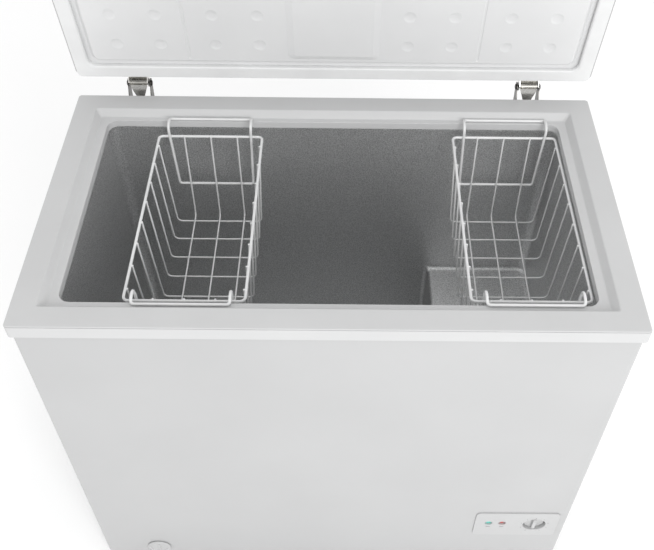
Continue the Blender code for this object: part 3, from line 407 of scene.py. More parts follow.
def ringed(name, levels, middle=(0, 0), segments=6, hollow=False):
    """A rounded rectangle extruded from level to level (half x, half y, z, radius). A hollow
    shell runs back to its first level; any other is closed by its first and last."""
    half_x, half_y, z, radius = levels[0]
    bpy.ops.object.select_all(action="DESELECT")
    bpy.ops.mesh.primitive_plane_add(size=2)
    shell = added(name)
    edit(shell)
    bpy.ops.transform.resize(value=(half_x, half_y, 1))
    bpy.ops.transform.translate(value=(middle[0], middle[1], z))
    bpy.ops.mesh.bevel(offset=radius, segments=segments, affect="VERTICES")
    if hollow:
        bpy.ops.mesh.select_all(action="SELECT")
        bpy.ops.mesh.delete(type="ONLY_FACE")
    seats = [ring_spot(levels[0], seat, middle, segments) for seat in range(4 * (segments + 1))]
    work = bmesh.from_edit_mesh(shell.data)
    mark = work.verts.layers.int.new("seat")
    for vertex in work.verts:
        nearest = min(range(len(seats)), key=lambda seat: (seats[seat] - vertex.co).length_squared)
        vertex[mark] = nearest
    bmesh.update_edit_mesh(shell.data)
    bpy.ops.mesh.select_mode(type="EDGE" if hollow else "FACE")
    bpy.ops.mesh.select_all(action="SELECT")
    for level in levels[1:] + (levels[:1] if hollow else []):
        bpy.ops.mesh.extrude_region_move()
        work = bmesh.from_edit_mesh(shell.data)
        mark = work.verts.layers.int["seat"]
        for vertex in work.verts:
            if vertex.select:
                vertex.co = ring_spot(level, vertex[mark], middle, segments)
        bmesh.update_edit_mesh(shell.data)
    leave()
    shell.data.attributes.remove(shell.data.attributes["seat"])
    return closed_up(shell)


def finished(thing, body, material, slot, *nodes):
    """Gives a piece its finish, its body and the nodes it stands for."""
    thing.data.materials.clear()
    thing.data.materials.append(material)
    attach(thing, body)
    if nodes:
        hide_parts(*nodes)
    return thing


# Finishes


def new_finish(name, base, roughness, metallic=0.0, **more):
    """A principled material with these constants, and its tree and shader."""
    made = bpy.data.materials.new(name)
    made.use_nodes = True
    made.diffuse_color = (*base, 1)
    shader = made.node_tree.nodes["Principled BSDF"]
    shader.inputs["Base Color"].default_value = (*base, 1)
    shader.inputs["Roughness"].default_value = roughness
    shader.inputs["Metallic"].default_value = metallic
    for socket, value in more.items():
        shader.inputs[socket.replace("_", " ")].default_value = value
    return made, made.node_tree, shader


def object_space(tree, scale=(1, 1, 1)):
    where = tree.nodes.new("ShaderNodeTexCoord")
    mapping = tree.nodes.new("ShaderNodeMapping")
    mapping.inputs["Scale"].default_value = scale
    tree.links.new(where.outputs["Object"], mapping.inputs["Vector"])
    return mapping.outputs["Vector"]


def noise(tree, space, scale, detail=3.0, rough=0.5):
    cloud = tree.nodes.new("ShaderNodeTexNoise")
    cloud.inputs["Scale"].default_value = scale
    cloud.inputs["Detail"].default_value = detail
    cloud.inputs["Roughness"].default_value = rough
    tree.links.new(space, cloud.inputs["Vector"])
    return cloud.outputs["Fac"]


def cells(tree, space, scale, feature="SMOOTH_F1"):
    dots = tree.nodes.new("ShaderNodeTexVoronoi")
    dots.feature = feature
    dots.inputs["Scale"].default_value = scale
    tree.links.new(space, dots.inputs["Vector"])
    return dots


def between(tree, value, low, high, start=0.0, end=1.0):
    """Spreads a value from start-end over low-high."""
    spread = tree.nodes.new("ShaderNodeMapRange")
    spread.inputs["From Min"].default_value = start
    spread.inputs["From Max"].default_value = end
    spread.inputs["To Min"].default_value = low
    spread.inputs["To Max"].default_value = high
    tree.links.new(value, spread.inputs["Value"])
    return spread.outputs["Result"]


def tinted(tree, shader, value, dark, light, start=0.3, end=0.7):
    """Base colour that wanders between two tones with a value."""
    ramp = tree.nodes.new("ShaderNodeValToRGB")
    ramp.color_ramp.elements[0].position = start
    ramp.color_ramp.elements[0].color = (*dark, 1)
    ramp.color_ramp.elements[1].position = end
    ramp.color_ramp.elements[1].color = (*light, 1)
    tree.links.new(value, ramp.inputs["Fac"])
    tree.links.new(ramp.outputs["Color"], shader.inputs["Base Color"])


def bumped(tree, shader, height, strength, distance, under=None):
    bump = tree.nodes.new("ShaderNodeBump")
    bump.inputs["Strength"].default_value = strength
    bump.inputs["Distance"].default_value = distance
    tree.links.new(height, bump.inputs["Height"])
    if under is not None:
        tree.links.new(under, bump.inputs["Normal"])
    tree.links.new(bump.outputs["Normal"], shader.inputs["Normal"])
    return bump.outputs["Normal"]


def shade(base, factor):
    """A colour made lighter or darker."""
    return tuple(min(1.0, part * factor) for part in base)


def coated_steel(name, base):
    """Powder-coated sheet: faint orange peel and a soft gloss that varies a little."""
    made, tree, shader = new_finish(name, base, 0.36, Coat_Weight=0.12, Coat_Roughness=0.22)
    space = object_space(tree)
    tinted(tree, shader, noise(tree, space, 4.5, 4), shade(base, 0.975), shade(base, 1.02))
    rough = between(tree, noise(tree, space, 38, 3), 0.32, 0.42)
    tree.links.new(rough, shader.inputs["Roughness"])
    bumped(tree, shader, noise(tree, space, 520, 2, 0.6), 0.10, 0.00035)
    return made


def moulded_plastic(name, base, roughness=0.42, grain=900):
    """Moulded plastic: fine grain, slight sink and flow tone."""
    made, tree, shader = new_finish(name, base, roughness)
    space = object_space(tree)
    tinted(tree, shader, noise(tree, space, 7, 4), shade(base, 0.97), shade(base, 1.02))
    rough = between(tree, noise(tree, space, 60, 3), roughness - 0.05, roughness + 0.06)
    tree.links.new(rough, shader.inputs["Roughness"])
    bumped(tree, shader, noise(tree, space, grain, 2), 0.12, 0.00022)
    return made


def soft_seal(name, base):
    """Soft seal: duller, with faint marks across it."""
    made, tree, shader = new_finish(name, base, 0.62, Sheen_Weight=0.08)
    space = object_space(tree)
    tinted(tree, shader, noise(tree, space, 16, 4), shade(base, 0.95), shade(base, 1.02))
    bumped(tree, shader, noise(tree, space, 420, 2), 0.16, 0.0003)
    return made


def stucco_aluminium(name, base):
    """Embossed aluminium: small pebbled cells over rolled metal."""
    made, tree, shader = new_finish(name, base, 0.44, 0.92)
    space = object_space(tree)
    wander = noise(tree, space, 120, 2)
    pebbles = cells(tree, space, 300)
    pebbles.inputs["Smoothness"].default_value = 0.35
    grain = noise(tree, space, 480, 2, 0.7)
    tinted(tree, shader, grain, shade(base, 0.74), shade(base, 1.22), 0.38, 0.62)
    tree.links.new(between(tree, wander, 0.38, 0.52), shader.inputs["Roughness"])
    lengthwise = object_space(tree, (1, 1, 0.06))
    rolled = bumped(tree, shader, noise(tree, lengthwise, 700, 2), 0.06, 0.0002)
    bumped(tree, shader, pebbles.outputs["Distance"], 0.55, 0.0008, rolled)
    return made


def zinc_plate(name, base, spangle=55):
    """Galvanised sheet with spangles."""
    made, tree, shader = new_finish(name, base, 0.40, 1.0)
    space = object_space(tree)
    flakes = cells(tree, space, spangle, "F1")
    tone = tree.nodes.new("ShaderNodeSeparateColor")
    tree.links.new(flakes.outputs["Color"], tone.inputs["Color"])
    tinted(tree, shader, tone.outputs["Red"], shade(base, 0.78), shade(base, 1.12), 0.0, 1.0)
    rough = between(tree, tone.outputs["Green"], 0.30, 0.52)
    tree.links.new(rough, shader.inputs["Roughness"])
    bumped(tree, shader, noise(tree, space, 260, 2), 0.10, 0.0002)
    return made


def plated_metal(name, base, roughness=0.24, streak=(1, 1, 12)):
    """Plated or drawn metal with fine streaks and slight staining."""
    made, tree, shader = new_finish(name, base, roughness, 1.0)
    space = object_space(tree)
    tinted(tree, shader, noise(tree, space, 70, 4), shade(base, 0.86), shade(base, 1.08))
    streaks = noise(tree, object_space(tree, streak), 160, 3)
    rough = between(tree, streaks, roughness - 0.06, roughness + 0.14)
    tree.links.new(rough, shader.inputs["Roughness"])
    bumped(tree, shader, streaks, 0.08, 0.0002)
    return made


def coated_wire(name, base):
    """Dip-coated wire: glossy, with slow runs in the coating."""
    made, tree, shader = new_finish(name, base, 0.30, Coat_Weight=0.25, Coat_Roughness=0.15)
    space = object_space(tree)
    tinted(tree, shader, noise(tree, space, 28, 3), shade(base, 0.95), shade(base, 1.03))
    bumped(tree, shader, noise(tree, space, 150, 2), 0.22, 0.0004)
    return made


def black_enamel(name, base=(0.022, 0.022, 0.024)):
    made, tree, shader = new_finish(name, base, 0.30, Coat_Weight=0.3, Coat_Roughness=0.2)
    space = object_space(tree)
    tinted(tree, shader, noise(tree, space, 24, 5), shade(base, 0.7), shade(base, 1.9), 0.35, 0.8)
    bumped(tree, shader, noise(tree, space, 240, 3), 0.22, 0.0005)
    return made


def copper_tube(name, base):
    """Drawn copper, stained darker in places."""
    made, tree, shader = new_finish(name, base, 0.28, 1.0)
    space = object_space(tree)
    stain = noise(tree, space, 42, 5)
    tinted(tree, shader, stain, shade(base, 0.45), shade(base, 1.08), 0.25, 0.65)
    rough = between(tree, noise(tree, space, 90, 3), 0.20, 0.46)
    tree.links.new(rough, shader.inputs["Roughness"])
    bumped(tree, shader, noise(tree, space, 350, 2), 0.12, 0.0002)
    return made


def rigid_foam(name, base):
    made, tree, shader = new_finish(name, base, 0.92)
    space = object_space(tree)
    tinted(tree, shader, noise(tree, space, 36, 6), shade(base, 0.78), shade(base, 1.08))
    bubbles = cells(tree, space, 420)
    bumped(tree, shader, bubbles.outputs["Distance"], 0.5, 0.0012)
    return made


def lamp_lens(name, base, glow):
    """Clear-coated lens with a faint prism pattern and the glow of its lamp."""
    made, tree, shader = new_finish(
        name, base, 0.16, Coat_Weight=0.5, Coat_Roughness=0.06, Emission_Strength=glow
    )
    shader.inputs["Emission Color"].default_value = (*base, 1)
    space = object_space(tree)
    tinted(tree, shader, noise(tree, space, 180, 2), shade(base, 0.75), shade(base, 1.2))
    prisms = cells(tree, space, 900)
    bumped(tree, shader, prisms.outputs["Distance"], 0.25, 0.0003)
    return made


FINISHES = {}


def finish_of(name):
    """The object's finishes, made once each from the colours in the sidebar."""
    if not FINISHES:
        pick_from = bpy.context.scene.freezer_colours
        FINISHES.update(
            body=coated_steel("coated_white_steel", tuple(pick_from.body)),
            collar=moulded_plastic("collar_plastic", tuple(pick_from.collar)),
            # The lid lining is the collar's plastic made 1.36 times lighter: painted light for the
            # brightly lit open lid.
            lining=moulded_plastic("lid_lining_plastic_painted_light", shade(pick_from.collar, 1.36), 0.38, 700),
            fascia=moulded_plastic("fascia_plastic", shade(pick_from.collar, 0.90), 0.34, 1200),
            mark=moulded_plastic("grey_marks", (0.12, 0.12, 0.125), 0.45),
            seal=soft_seal("soft_gasket", tuple(pick_from.gasket)),
            tank=stucco_aluminium("stucco_aluminium", tuple(pick_from.tank)),
            tube=plated_metal("drawn_aluminium", (0.52, 0.53, 0.54), 0.34),
            zinc=zinc_plate("galvanised_sheet", (0.50, 0.51, 0.52)),
            nickel=plated_metal("nickel_plate", tuple(pick_from.nickel), 0.22),
            # Near-black base colour for the brackets: painted shade for the shadow between their
            # ears, laid over plated steel.
            bracket=plated_metal("painted_shade_plate", (0.120, 0.117, 0.112), 0.30),
            rivet=plated_metal("blackened_rivet", (0.045, 0.042, 0.040), 0.38),
            screw=plated_metal("zinc_screw", (0.50, 0.49, 0.46), 0.28, (1, 8, 1)),
            spring=plated_metal("coiled_spring_steel", (0.26, 0.26, 0.27), 0.34),
            wire=coated_wire("white_wire_coat", tuple(pick_from.wire)),
            enamel=black_enamel("black_enamel"),
            moulding=moulded_plastic("black_moulding", (0.025, 0.025, 0.026), 0.5, 600),
            rubber=soft_seal("black_rubber", (0.022, 0.022, 0.022)),
            copper=copper_tube("copper_tube", (0.60, 0.27, 0.15)),
            foam=rigid_foam("rigid_foam", (0.62, 0.50, 0.25)),
            green=lamp_lens("green_lamp_lens", tuple(pick_from.green), 1.1),
            red=lamp_lens("red_lamp_lens", tuple(pick_from.red), 0.30),
        )
    return FINISHES[name]


# Pieces


class BuildCollar(bpy.types.Operator):
    """Moulded frame round the mouth: lip, fine corner line, flat, slope, ledge and skirt"""

    bl_idname = "freezer.build_collar"
    bl_label = "Collar"

    def execute(self, context):
        size = context.scene.freezer_cabinet
        half = size.width / 2, size.depth / 2
        low = COLLAR_LOW.z
        flat, ledge = size.flat_width, size.ledge_start
        shelf = TOP - size.ledge_depth
        skirt = Vector((size.skirt_inset_x, size.skirt_inset_y))
        foot = TOP - size.skirt_depth
        wall, line = size.collar_wall, size.corner_line
        section = [
            (0.0006, 0.0006, low, 0.0055),
            (0.0, 0.0, low + 0.0006, 0.006),
            (0.0, 0.0, TOP - 0.0014 - line, 0.006),
            (0.0011, 0.0011, TOP - 0.0012 - line, 0.0052),
            (0.0011, 0.0011, TOP - 0.0014, 0.0052),
            (0.0003, 0.0003, TOP - 0.0012, 0.0058),
            (0.0006, 0.0006, TOP - 0.0005, 0.0056),
            (0.0014, 0.0014, TOP, 0.0050),
            (flat - 0.0016, flat - 0.0016, TOP, 0.0040),
            (flat, flat, TOP - 0.0004, 0.0042),
            (flat + 0.0012, flat + 0.0012, TOP - 0.0014, 0.0046),
            (ledge - 0.0010, ledge - 0.0010, shelf + 0.0013, 0.0058),
            (ledge, ledge, shelf + 0.0004, 0.0060),
            (ledge + 0.0014, ledge + 0.0014, shelf, 0.0064),
            (skirt.x - 0.0018, skirt.y - 0.0018, shelf, 0.0196),
            (skirt.x - 0.0006, skirt.y - 0.0006, shelf - 0.0004, 0.0186),
            (skirt.x, skirt.y, shelf - 0.0016, 0.0180),
            (skirt.x, skirt.y, foot + 0.0004, 0.0180),
            (skirt.x - 0.0006, skirt.y - 0.0006, foot, 0.0186),
            (skirt.x - wall, skirt.y - wall, foot, 0.0200),
            (skirt.x - wall, skirt.y - wall, shelf - wall, 0.0200),
            (ledge - 0.0015, ledge - 0.0015, shelf - wall, 0.0070),
            (flat - 0.0012, flat - 0.0012, TOP - wall, 0.0050),
            (wall, wall, TOP - wall, 0.0040),
            (wall, wall, low, 0.0040),
        ]
        levels = [(half[0] - x, half[1] - y, z, r) for x, y, z, r in section]
        collar = ringed("cabinet_collar", levels, (0, MIDDLE_Y), 7, hollow=True)
        smoothed(collar, 28)
        finished(collar, "cabinet", finish_of("collar"), "white_plastic", "top_collar")
        return {"FINISHED"}


class BuildBody(bpy.types.Operator):
    """Front and sides folded from one coated sheet, with its window and drain hole"""

    bl_idname = "freezer.build_body"
    bl_label = "Body sheet"

    def execute(self, context):
        size = context.scene.freezer_cabinet
        low, high = WRAP_LOW, WRAP_HIGH
        path = [
            (low.x, high.y, low.z),
            (low.x, low.y, low.z),
            (high.x, low.y, low.z),
            (high.x, high.y, low.z),
        ]
        sheet = drawn_line("body_sheet", path)
        round_corners(sheet, size.fold_radius, 6)
        edit(sheet)
        rise = (0, 0, high.z - low.z)
        bpy.ops.mesh.extrude_region_move(TRANSFORM_OT_translate={"value": rise})
        bpy.ops.mesh.select_all(action="SELECT")
        bpy.ops.mesh.normals_make_consistent(inside=False)
        leave()
        front = max(sheet.data.polygons, key=lambda face: face.area * (abs(face.normal.y) > 0.9))
        if front.normal.y > 0:
            edit(sheet, "FACE")
            bpy.ops.mesh.flip_normals()
            leave()
        skin = sheet.modifiers.new("thickness", "SOLIDIFY")
        skin.thickness = size.sheet
        skin.offset = -1
        skin.use_even_offset = True
        apply_all(sheet)
        window = block(
            "window",
            (PANEL_LOW.x + 0.010, low.y - 0.02, PANEL_LOW.z + 0.010),
            (PANEL_HIGH.x - 0.010, low.y + 0.02, PANEL_HIGH.z - 0.010),
        )
        cut_away(sheet, window)
        middle = (DRAIN_LOW + DRAIN_HIGH) / 2
        hole = turned(
            "hole",
            [(0, -0.01), (0.011, -0.01), (0.011, 0.01), (0, 0.01)],
            (middle.x, low.y, middle.z),
            TO_FRONT,
            32,
        )
        cut_away(sheet, hole)
        smoothed(sheet, 28)
        finished(sheet, "cabinet", finish_of("body"), "white_steel", "outer_wrapper")
        return {"FINISHED"}


class BuildRear(bpy.types.Operator):
    """Rear sheet with pressed fields, its vent and the screws round its edge"""

    bl_idname = "freezer.build_rear"
    bl_label = "Rear sheet"

    def execute(self, context):
        back = REAR_HIGH.y
        sheet = block("rear_sheet", REAR_LOW, REAR_HIGH)
        fields = [
            ((-0.300, 0.400), (-0.020, 0.740)),
            ((0.020, 0.400), (0.300, 0.740)),
            ((-0.430, 0.070), (0.220, 0.350)),
        ]
        for i, ((x0, z0), (x1, z1)) in enumerate(fields):
            half = (x1 - x0) / 2, (z1 - z0) / 2
            levels = [
                (half[0], half[1], -0.0003, 0.020),
                (half[0], half[1], 0.0002, 0.020),
                (half[0] - 0.0045, half[1] - 0.0045, 0.0018, 0.016),
                (half[0] - 0.0060, half[1] - 0.0060, 0.0020, 0.015),
            ]
            field = ringed(f"field_{i}", levels, (0, 0), 6)
            placed(field, ((x0 + x1) / 2, back, (z0 + z1) / 2), TO_BACK)
            fused(sheet, field)
        vent = block(
            "vent",
            (GRILLE_LOW.x + 0.008, back - 0.02, GRILLE_LOW.z + 0.008),
            (GRILLE_HIGH.x - 0.008, back + 0.02, GRILLE_HIGH.z - 0.008),
        )
        cut_away(sheet, vent)
        for name in ("left_1", "left_2", "right_1", "right_2"):
            low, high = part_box(f"hinge_screw_{name}")
            spot = ((low.x + high.x) / 2, back, (low.z + high.z) / 2)
            bore = [(0, -0.01), (0.0024, -0.01), (0.0024, 0.01), (0, 0.01)]
            cut_away(sheet, turned("bore", bore, spot, TO_BACK, 16))
        smoothed(sheet, 28)
        finished(sheet, "cabinet", finish_of("body"), "white_steel", "rear_panel")
        spots = [(x, z) for x in (-0.452, 0.452) for z in (0.36, 0.50, 0.63, 0.755)]
        spots += [(-0.452, z) for z in (0.05, 0.20)]
        spots += [(x, 0.040) for x in (-0.36, -0.20, -0.04, 0.12)]
        screws = [
            pan_screw(f"rear_screw_{i}", (x, back, z), TO_BACK) for i, (x, z) in enumerate(spots)
        ]
        row = smoothed(joined("rear_sheet_screws", *screws), 35)
        finished(row, "cabinet", finish_of("screw"), "zinc")
        return {"FINISHED"}


def pan_screw(name, spot, turn, radius=0.0036, height=0.0020):
    """A pan head with a cross recess, standing on its sheet."""
    head = turned(
        name,
        [
            (0, 0.0001),
            (radius, 0.0001),
            (radius, height * 0.35),
            (radius * 0.86, height * 0.78),
            (radius * 0.5, height),
            (0, height),
        ],
        steps=24,
    )
    arm, thin = radius * 0.55, radius * 0.13
    for half in ((arm, thin), (thin, arm)):
        slot = block("slot", (-half[0], -half[1], height * 0.45), (half[0], half[1], height * 1.5))
        cut_away(head, slot)
    return placed(head, spot, turn)


class BuildTank(bpy.types.Operator):
    """Embossed tank with rounded corners, turned-out flange and the compressor step"""

    bl_idname = "freezer.build_tank"
    bl_label = "Tank"

    def execute(self, context):
        size = context.scene.freezer_cabinet
        half_x, half_y = size.tank_half_x, size.tank_half_y
        floor, corner, top = size.tank_floor, size.tank_corner, TANK_HIGH.z
        levels = []
        foot_round = 0.012
        for i in range(5):
            angle = math.radians(90) * i / 4
            inset = foot_round * (1 - math.sin(angle))
            z = floor + foot_round * (1 - math.cos(angle))
            levels.append((half_x - inset, half_y - inset, z, corner - inset * 0.6))
        levels.append((half_x, half_y, top, corner))
        tank = ringed("tank", levels, (0, MIDDLE_Y), 8)
        step = block(
            "step",
            (size.step_left, COLLAR_LOW.y, 0),
            (COLLAR_HIGH.x, COLLAR_HIGH.y, size.step_top),
        )
        cut_away(tank, step)
        edit(tank, "EDGE")
        pick(tank, "EDGE", self.on_step)
        bpy.ops.mesh.bevel(offset=0.010, segments=4, affect="EDGES", clamp_overlap=True)
        pick(
            tank,
            "FACE",
            lambda face: face.normal.z > 0.99 and face.calc_center_median().z > top - 0.001,
        )
        bpy.ops.mesh.delete(type="FACE")
        bpy.ops.mesh.select_all(action="SELECT")
        bpy.ops.mesh.normals_make_consistent(inside=True)
        pick(tank, "EDGE", lambda edge: len(edge.link_faces) == 1)
        bpy.ops.mesh.extrude_region_move(TRANSFORM_OT_translate={"value": (0, 0, 0)})
        grow = ((half_x + 0.008) / half_x, (half_y + 0.008) / half_y, 1)
        bpy.ops.transform.resize(value=grow, center_override=(0, MIDDLE_Y, top))
        leave()
        skin = tank.modifiers.new("thickness", "SOLIDIFY")
        skin.thickness = 0.0008
        skin.offset = -1
        skin.use_even_offset = False
        apply_all(tank)
        low = (PLUG_LOW + PLUG_HIGH) / 2
        bore = [(0, -0.01), (0.0080, -0.01), (0.0080, 0.01), (0, 0.01)]
        cut_away(tank, turned("bore", bore, (low.x, low.y, floor), steps=32))
        smoothed(tank, 32)
        finished(tank, "cabinet", finish_of("tank"), "aluminium", "tank_liner")
        return {"FINISHED"}

    @staticmethod
    def on_step(edge):
        """Whether an edge runs along the compressor step's tread or riser."""
        size = bpy.context.scene.freezer_cabinet
        if len(edge.link_faces) != 2 or edge.calc_face_angle(0) < math.radians(60):
            return False
        ends = [vertex.co for vertex in edge.verts]
        tread = all(abs(co.z - size.step_top) < 0.0001 for co in ends)
        riser = all(abs(co.x - size.step_left) < 0.0001 for co in ends)
        return tread or riser


class BuildBaskets(bpy.types.Operator):
    """Two wire baskets: rim, hoops, long wires, welds and the hangers that rest on the ledge"""

    bl_idname = "freezer.build_baskets"
    bl_label = "Baskets"

    def execute(self, context):
        size = context.scene.freezer_baskets
        half_x, half_y = size.rim_width / 2, size.rim_length / 2
        rim_z, bottom = TOP - size.rim_below, TOP - size.bottom_below
        thick, thin = size.rim_wire, size.thin_wire
        corners = [(1, 1), (-1, 1), (-1, -1), (1, -1)]
        wires = [
            wire("rim", [(x * half_x, y * half_y, rim_z) for x, y in corners], thick, 0.008, True)
        ]
        low_x, low_y = half_x - 0.012, half_y - 0.014
        inner_x, inner_y = half_x - thick - thin + 0.0008, half_y - thick - thin + 0.0008
        first, last, bend = 0.028, 0.023, 0.009  # end hoops from the rim, bends of the wires
        pitch = (size.rim_length - first - last) / (size.hoops - 1)
        for i in range(size.hoops):
            y = half_y - first - i * pitch
            hoop = [(-inner_x, y, rim_z + 0.0012), (-inner_x, y, rim_z - 0.004)]
            hoop.append((-low_x, y, bottom))
            hoop += [(-x, y, z) for x, y, z in reversed(hoop)]
            wires.append(wire(f"hoop_{i}", hoop, thin, bend))
            for side in (-1, 1):
                wires.append(self.weld((side * (inner_x + 0.0012), y, rim_z), thin))
        above = bottom + 2 * thin - 0.0004
        for x in (-0.048, 0.0, 0.048):
            rail = [(x, -inner_y, rim_z + 0.0012), (x, -inner_y, rim_z - 0.004), (x, -low_y, above)]
            rail += [(x, -y, z) for x, y, z in reversed(rail)]
            wires.append(wire("rail", rail, thin, bend))
            for end in (-1, 1):
                wires.append(self.weld((x, end * (inner_y + 0.0012), rim_z), thin))
        for end in (-1, 1):
            wires.append(self.hanger(size, end, half_y, rim_z))
        basket = joined("basket", *wires)
        smoothed(basket, 40, weighted=False)
        for name in ("left", "right"):
            low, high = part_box(f"basket_{name}")
            middle = (low + high) / 2
            copy = copied(basket, f"wire_basket_{name}", (middle.x, middle.y, 0))
            finished(copy, f"basket_{name}", finish_of("wire"), "white_wire", f"basket_{name}")
        bpy.data.objects.remove(basket, do_unlink=True)
        return {"FINISHED"}

    @staticmethod
    def weld(spot, radius):
        """The small bead where a thin wire meets the rim."""
        bead = turned(
            "weld",
            [
                (0, -radius * 1.5),
                (radius, -radius),
                (radius * 1.3, 0),
                (radius, radius),
                (0, radius * 1.5),
            ],
            steps=10,
        )
        return placed(bead, spot)

    @staticmethod
    def hanger(size, end, half_y, rim_z):
        """One bent wire: bar on the ledge, over the rim, down inside the basket and across."""
        bar_y = end * (half_y + 0.0235)
        inside_y = end * (half_y - size.rim_wire * 2 + 0.0006)
        crest = TOP - 0.0042
        side = [
            (0.074, bar_y, TOP - 0.012 + size.rim_wire + 0.0003),
            (0.074, bar_y - end * 0.009, crest),
            (0.074, inside_y + end * 0.006, crest),
            (0.074, inside_y, crest - 0.008),
            (0.070, inside_y, rim_z - 0.111),
        ]
        path = side + [(-x, y, z) for x, y, z in reversed(side)]
        return wire("hanger", path, size.rim_wire, 0.005, True)


def lid_levels(section):
    """Insets from the lid's edge and heights, turned into rings of the shut lid."""
    size = bpy.context.scene.freezer_cabinet
    half = size.width / 2, size.depth / 2
    return [(half[0] - inset, half[1] - inset, z, radius) for inset, z, radius in section]


def opened(thing):
    """Turns a piece of the shut lid open about the hinge axis."""
    angle = bpy.context.scene.freezer_lid.open_angle
    return placed(thing, (0, PIN_Y, PIN_Z), (-angle, 0, 0))


class BuildLidShell(bpy.types.Operator):
    """Coated steel lid pan with rounded edges and a folded-in flange"""

    bl_idname = "freezer.build_lid_shell"
    bl_label = "Lid shell"

    def execute(self, context):
        high = LID_UNDER + context.scene.freezer_lid.thickness
        sheet, edge = 0.001, 0.0062  # sheet's thickness, radius of the rounded edge
        section = [(edge, high, 0.006)]
        for i in range(1, 5):
            angle = math.radians(90) * i / 4
            inset, drop = edge * (1 - math.sin(angle)), edge * (1 - math.cos(angle))
            section.append((inset, high - drop, 0.006 + i * 0.001))
        section += [
            (0, LID_UNDER + 0.0010, 0.010),
            (0.0010, LID_UNDER, 0.009),
            (0.0140, LID_UNDER, 0.006),
            (0.0140, LID_UNDER + sheet, 0.006),
            (sheet, LID_UNDER + sheet, 0.009),
            (sheet, high - edge, 0.009),
            (0.0026, high - 0.0026, 0.008),
            (0.0064, high - sheet, 0.006),
        ]
        shell = ringed("lid_skin", lid_levels(section), (0, LID_MIDDLE_Y), 8)
        smoothed(shell, 28)
        opened(shell)
        finished(shell, "lid", finish_of("body"), "white_steel", "lid_shell")
        return {"FINISHED"}


class BuildLidPanel(bpy.types.Operator):
    """Formed inner panel of the lid: step, dimples, long grooves and the raised centre"""

    bl_idname = "freezer.build_lid_panel"
    bl_label = "Lid inner panel"

    def execute(self, context):
        size = context.scene.freezer_lid
        under, face = LID_UNDER, LID_UNDER - size.panel_drop
        section = [
            (0.0475, face, 0.0120),
            (0.0460, face + 0.0002, 0.0124),
            (0.0449, face + 0.0009, 0.0128),
            (0.0400, under - 0.0027, 0.0154),
            (0.0392, under - 0.0020, 0.0158),
            (0.0380, under - 0.0018, 0.0160),
            (0.0080, under - 0.0018, 0.0080),
            (0.0080, under - 0.0003, 0.0080),
            (0.0390, under - 0.0003, 0.0160),
            (0.0480, face + 0.0017, 0.0120),
        ]
        panel = ringed("lid_inner_panel", lid_levels(section), (0, LID_MIDDLE_Y), 8)
        fused(panel, self.raised_centre(size, face))
        cut_away(panel, self.dimples(size, face))
        cut_away(panel, self.grooves(size, face))
        smoothed(panel, 32)
        opened(panel)
        # The lining finish carries painted light: it is the collar's plastic made lighter.
        finished(panel, "lid", finish_of("lining"), "white_plastic", "lid_liner")
        return {"FINISHED"}

    @staticmethod
    def raised_centre(size, face):
        """The field in the middle that stands out towards the tank."""
        half_x = size.centre_half
        half_y = bpy.context.scene.freezer_cabinet.depth / 2 - 0.052
        rise = size.centre_rise
        levels = [
            (half_x - 0.0140, half_y - 0.0110, face - rise, 0.006),
            (half_x - 0.0118, half_y - 0.0090, face - rise * 0.94, 0.007),
            (half_x - 0.0020, half_y - 0.0016, face - rise * 0.06, 0.011),
            (half_x, half_y, face + 0.0001, 0.012),
            (half_x, half_y, face + 0.0006, 0.012),
        ]
        return ringed("centre", levels, (0, LID_MIDDLE_Y), 6)

    @staticmethod
    def dimples(size, face):
        """Cutter for the round dimples, in columns on both sides of the middle."""
        radius, depth = size.dimple_radius, size.dimple_depth
        profile = [(0, depth)]
        for i in range(1, 6):
            r = radius * i / 5
            profile.append((r, depth * (1 - (r / radius) ** 3)))
        profile += [(radius, -0.003), (0, -0.003)]
        back = LID_MIDDLE_Y + bpy.context.scene.freezer_cabinet.depth / 2
        one = turned("dimple", profile, (0, back - 0.0840, face), steps=32)
        repeated(one, 7, (0, -size.dimple_pitch, 0))
        columns = []
        for x in (0.130, 0.207, 0.303, 0.380):
            columns += [copied(one, "column", (-x, 0, 0)), copied(one, "column", (x, 0, 0))]
        bpy.data.objects.remove(one, do_unlink=True)
        return joined("dimples", *columns)

    @staticmethod
    def grooves(size, face):
        """Cutter for the two long grooves."""
        half_x = size.groove_width / 2
        half_y = bpy.context.scene.freezer_cabinet.depth / 2 - 0.051
        levels = [
            (half_x, half_y, face - 0.003, half_x * 0.98),
            (half_x, half_y, face - 0.0001, half_x * 0.98),
            (half_x * 0.8, half_y - 0.0006, face + 0.0007, half_x * 0.78),
            (half_x * 0.4, half_y - 0.0016, face + 0.0012, half_x * 0.38),
        ]
        one = ringed("groove", levels, (-size.groove_at, LID_MIDDLE_Y), 5)
        return joined("grooves", one, copied(one, "groove_2", (2 * size.groove_at, 0, 0)))


class BuildGasket(bpy.types.Operator):
    """Bellows gasket round the lid's inner panel"""

    bl_idname = "freezer.build_gasket"
    bl_label = "Gasket"

    def execute(self, context):
        size = context.scene.freezer_lid
        high, low = LID_UNDER - 0.0022, LID_UNDER - 0.0115
        outer, inner = size.gasket_outer, size.gasket_inner
        section = [
            (outer + 0.0015, high, 0.0090),
            (outer, high - 0.0012, 0.0100),
            (outer, high - 0.0030, 0.0100),
            (outer + 0.0013, high - 0.0042, 0.0092),
            (outer + 0.0004, high - 0.0056, 0.0096),
            (outer + 0.0006, low + 0.0016, 0.0096),
            (outer + 0.0016, low + 0.0004, 0.0090),
            (outer + 0.0032, low, 0.0080),
            (inner - 0.0034, low, 0.0130),
            (inner - 0.0016, low + 0.0005, 0.0136),
            (inner - 0.0004, low + 0.0018, 0.0140),
            (inner, low + 0.0045, 0.0140),
            (inner - 0.0010, high, 0.0140),
        ]
        gasket = ringed("lid_seal", lid_levels(section), (0, LID_MIDDLE_Y), 8, hollow=True)
        smoothed(gasket, 34)
        opened(gasket)
        finished(gasket, "lid", finish_of("seal"), "soft_white", "lid_gasket")
        return {"FINISHED"}


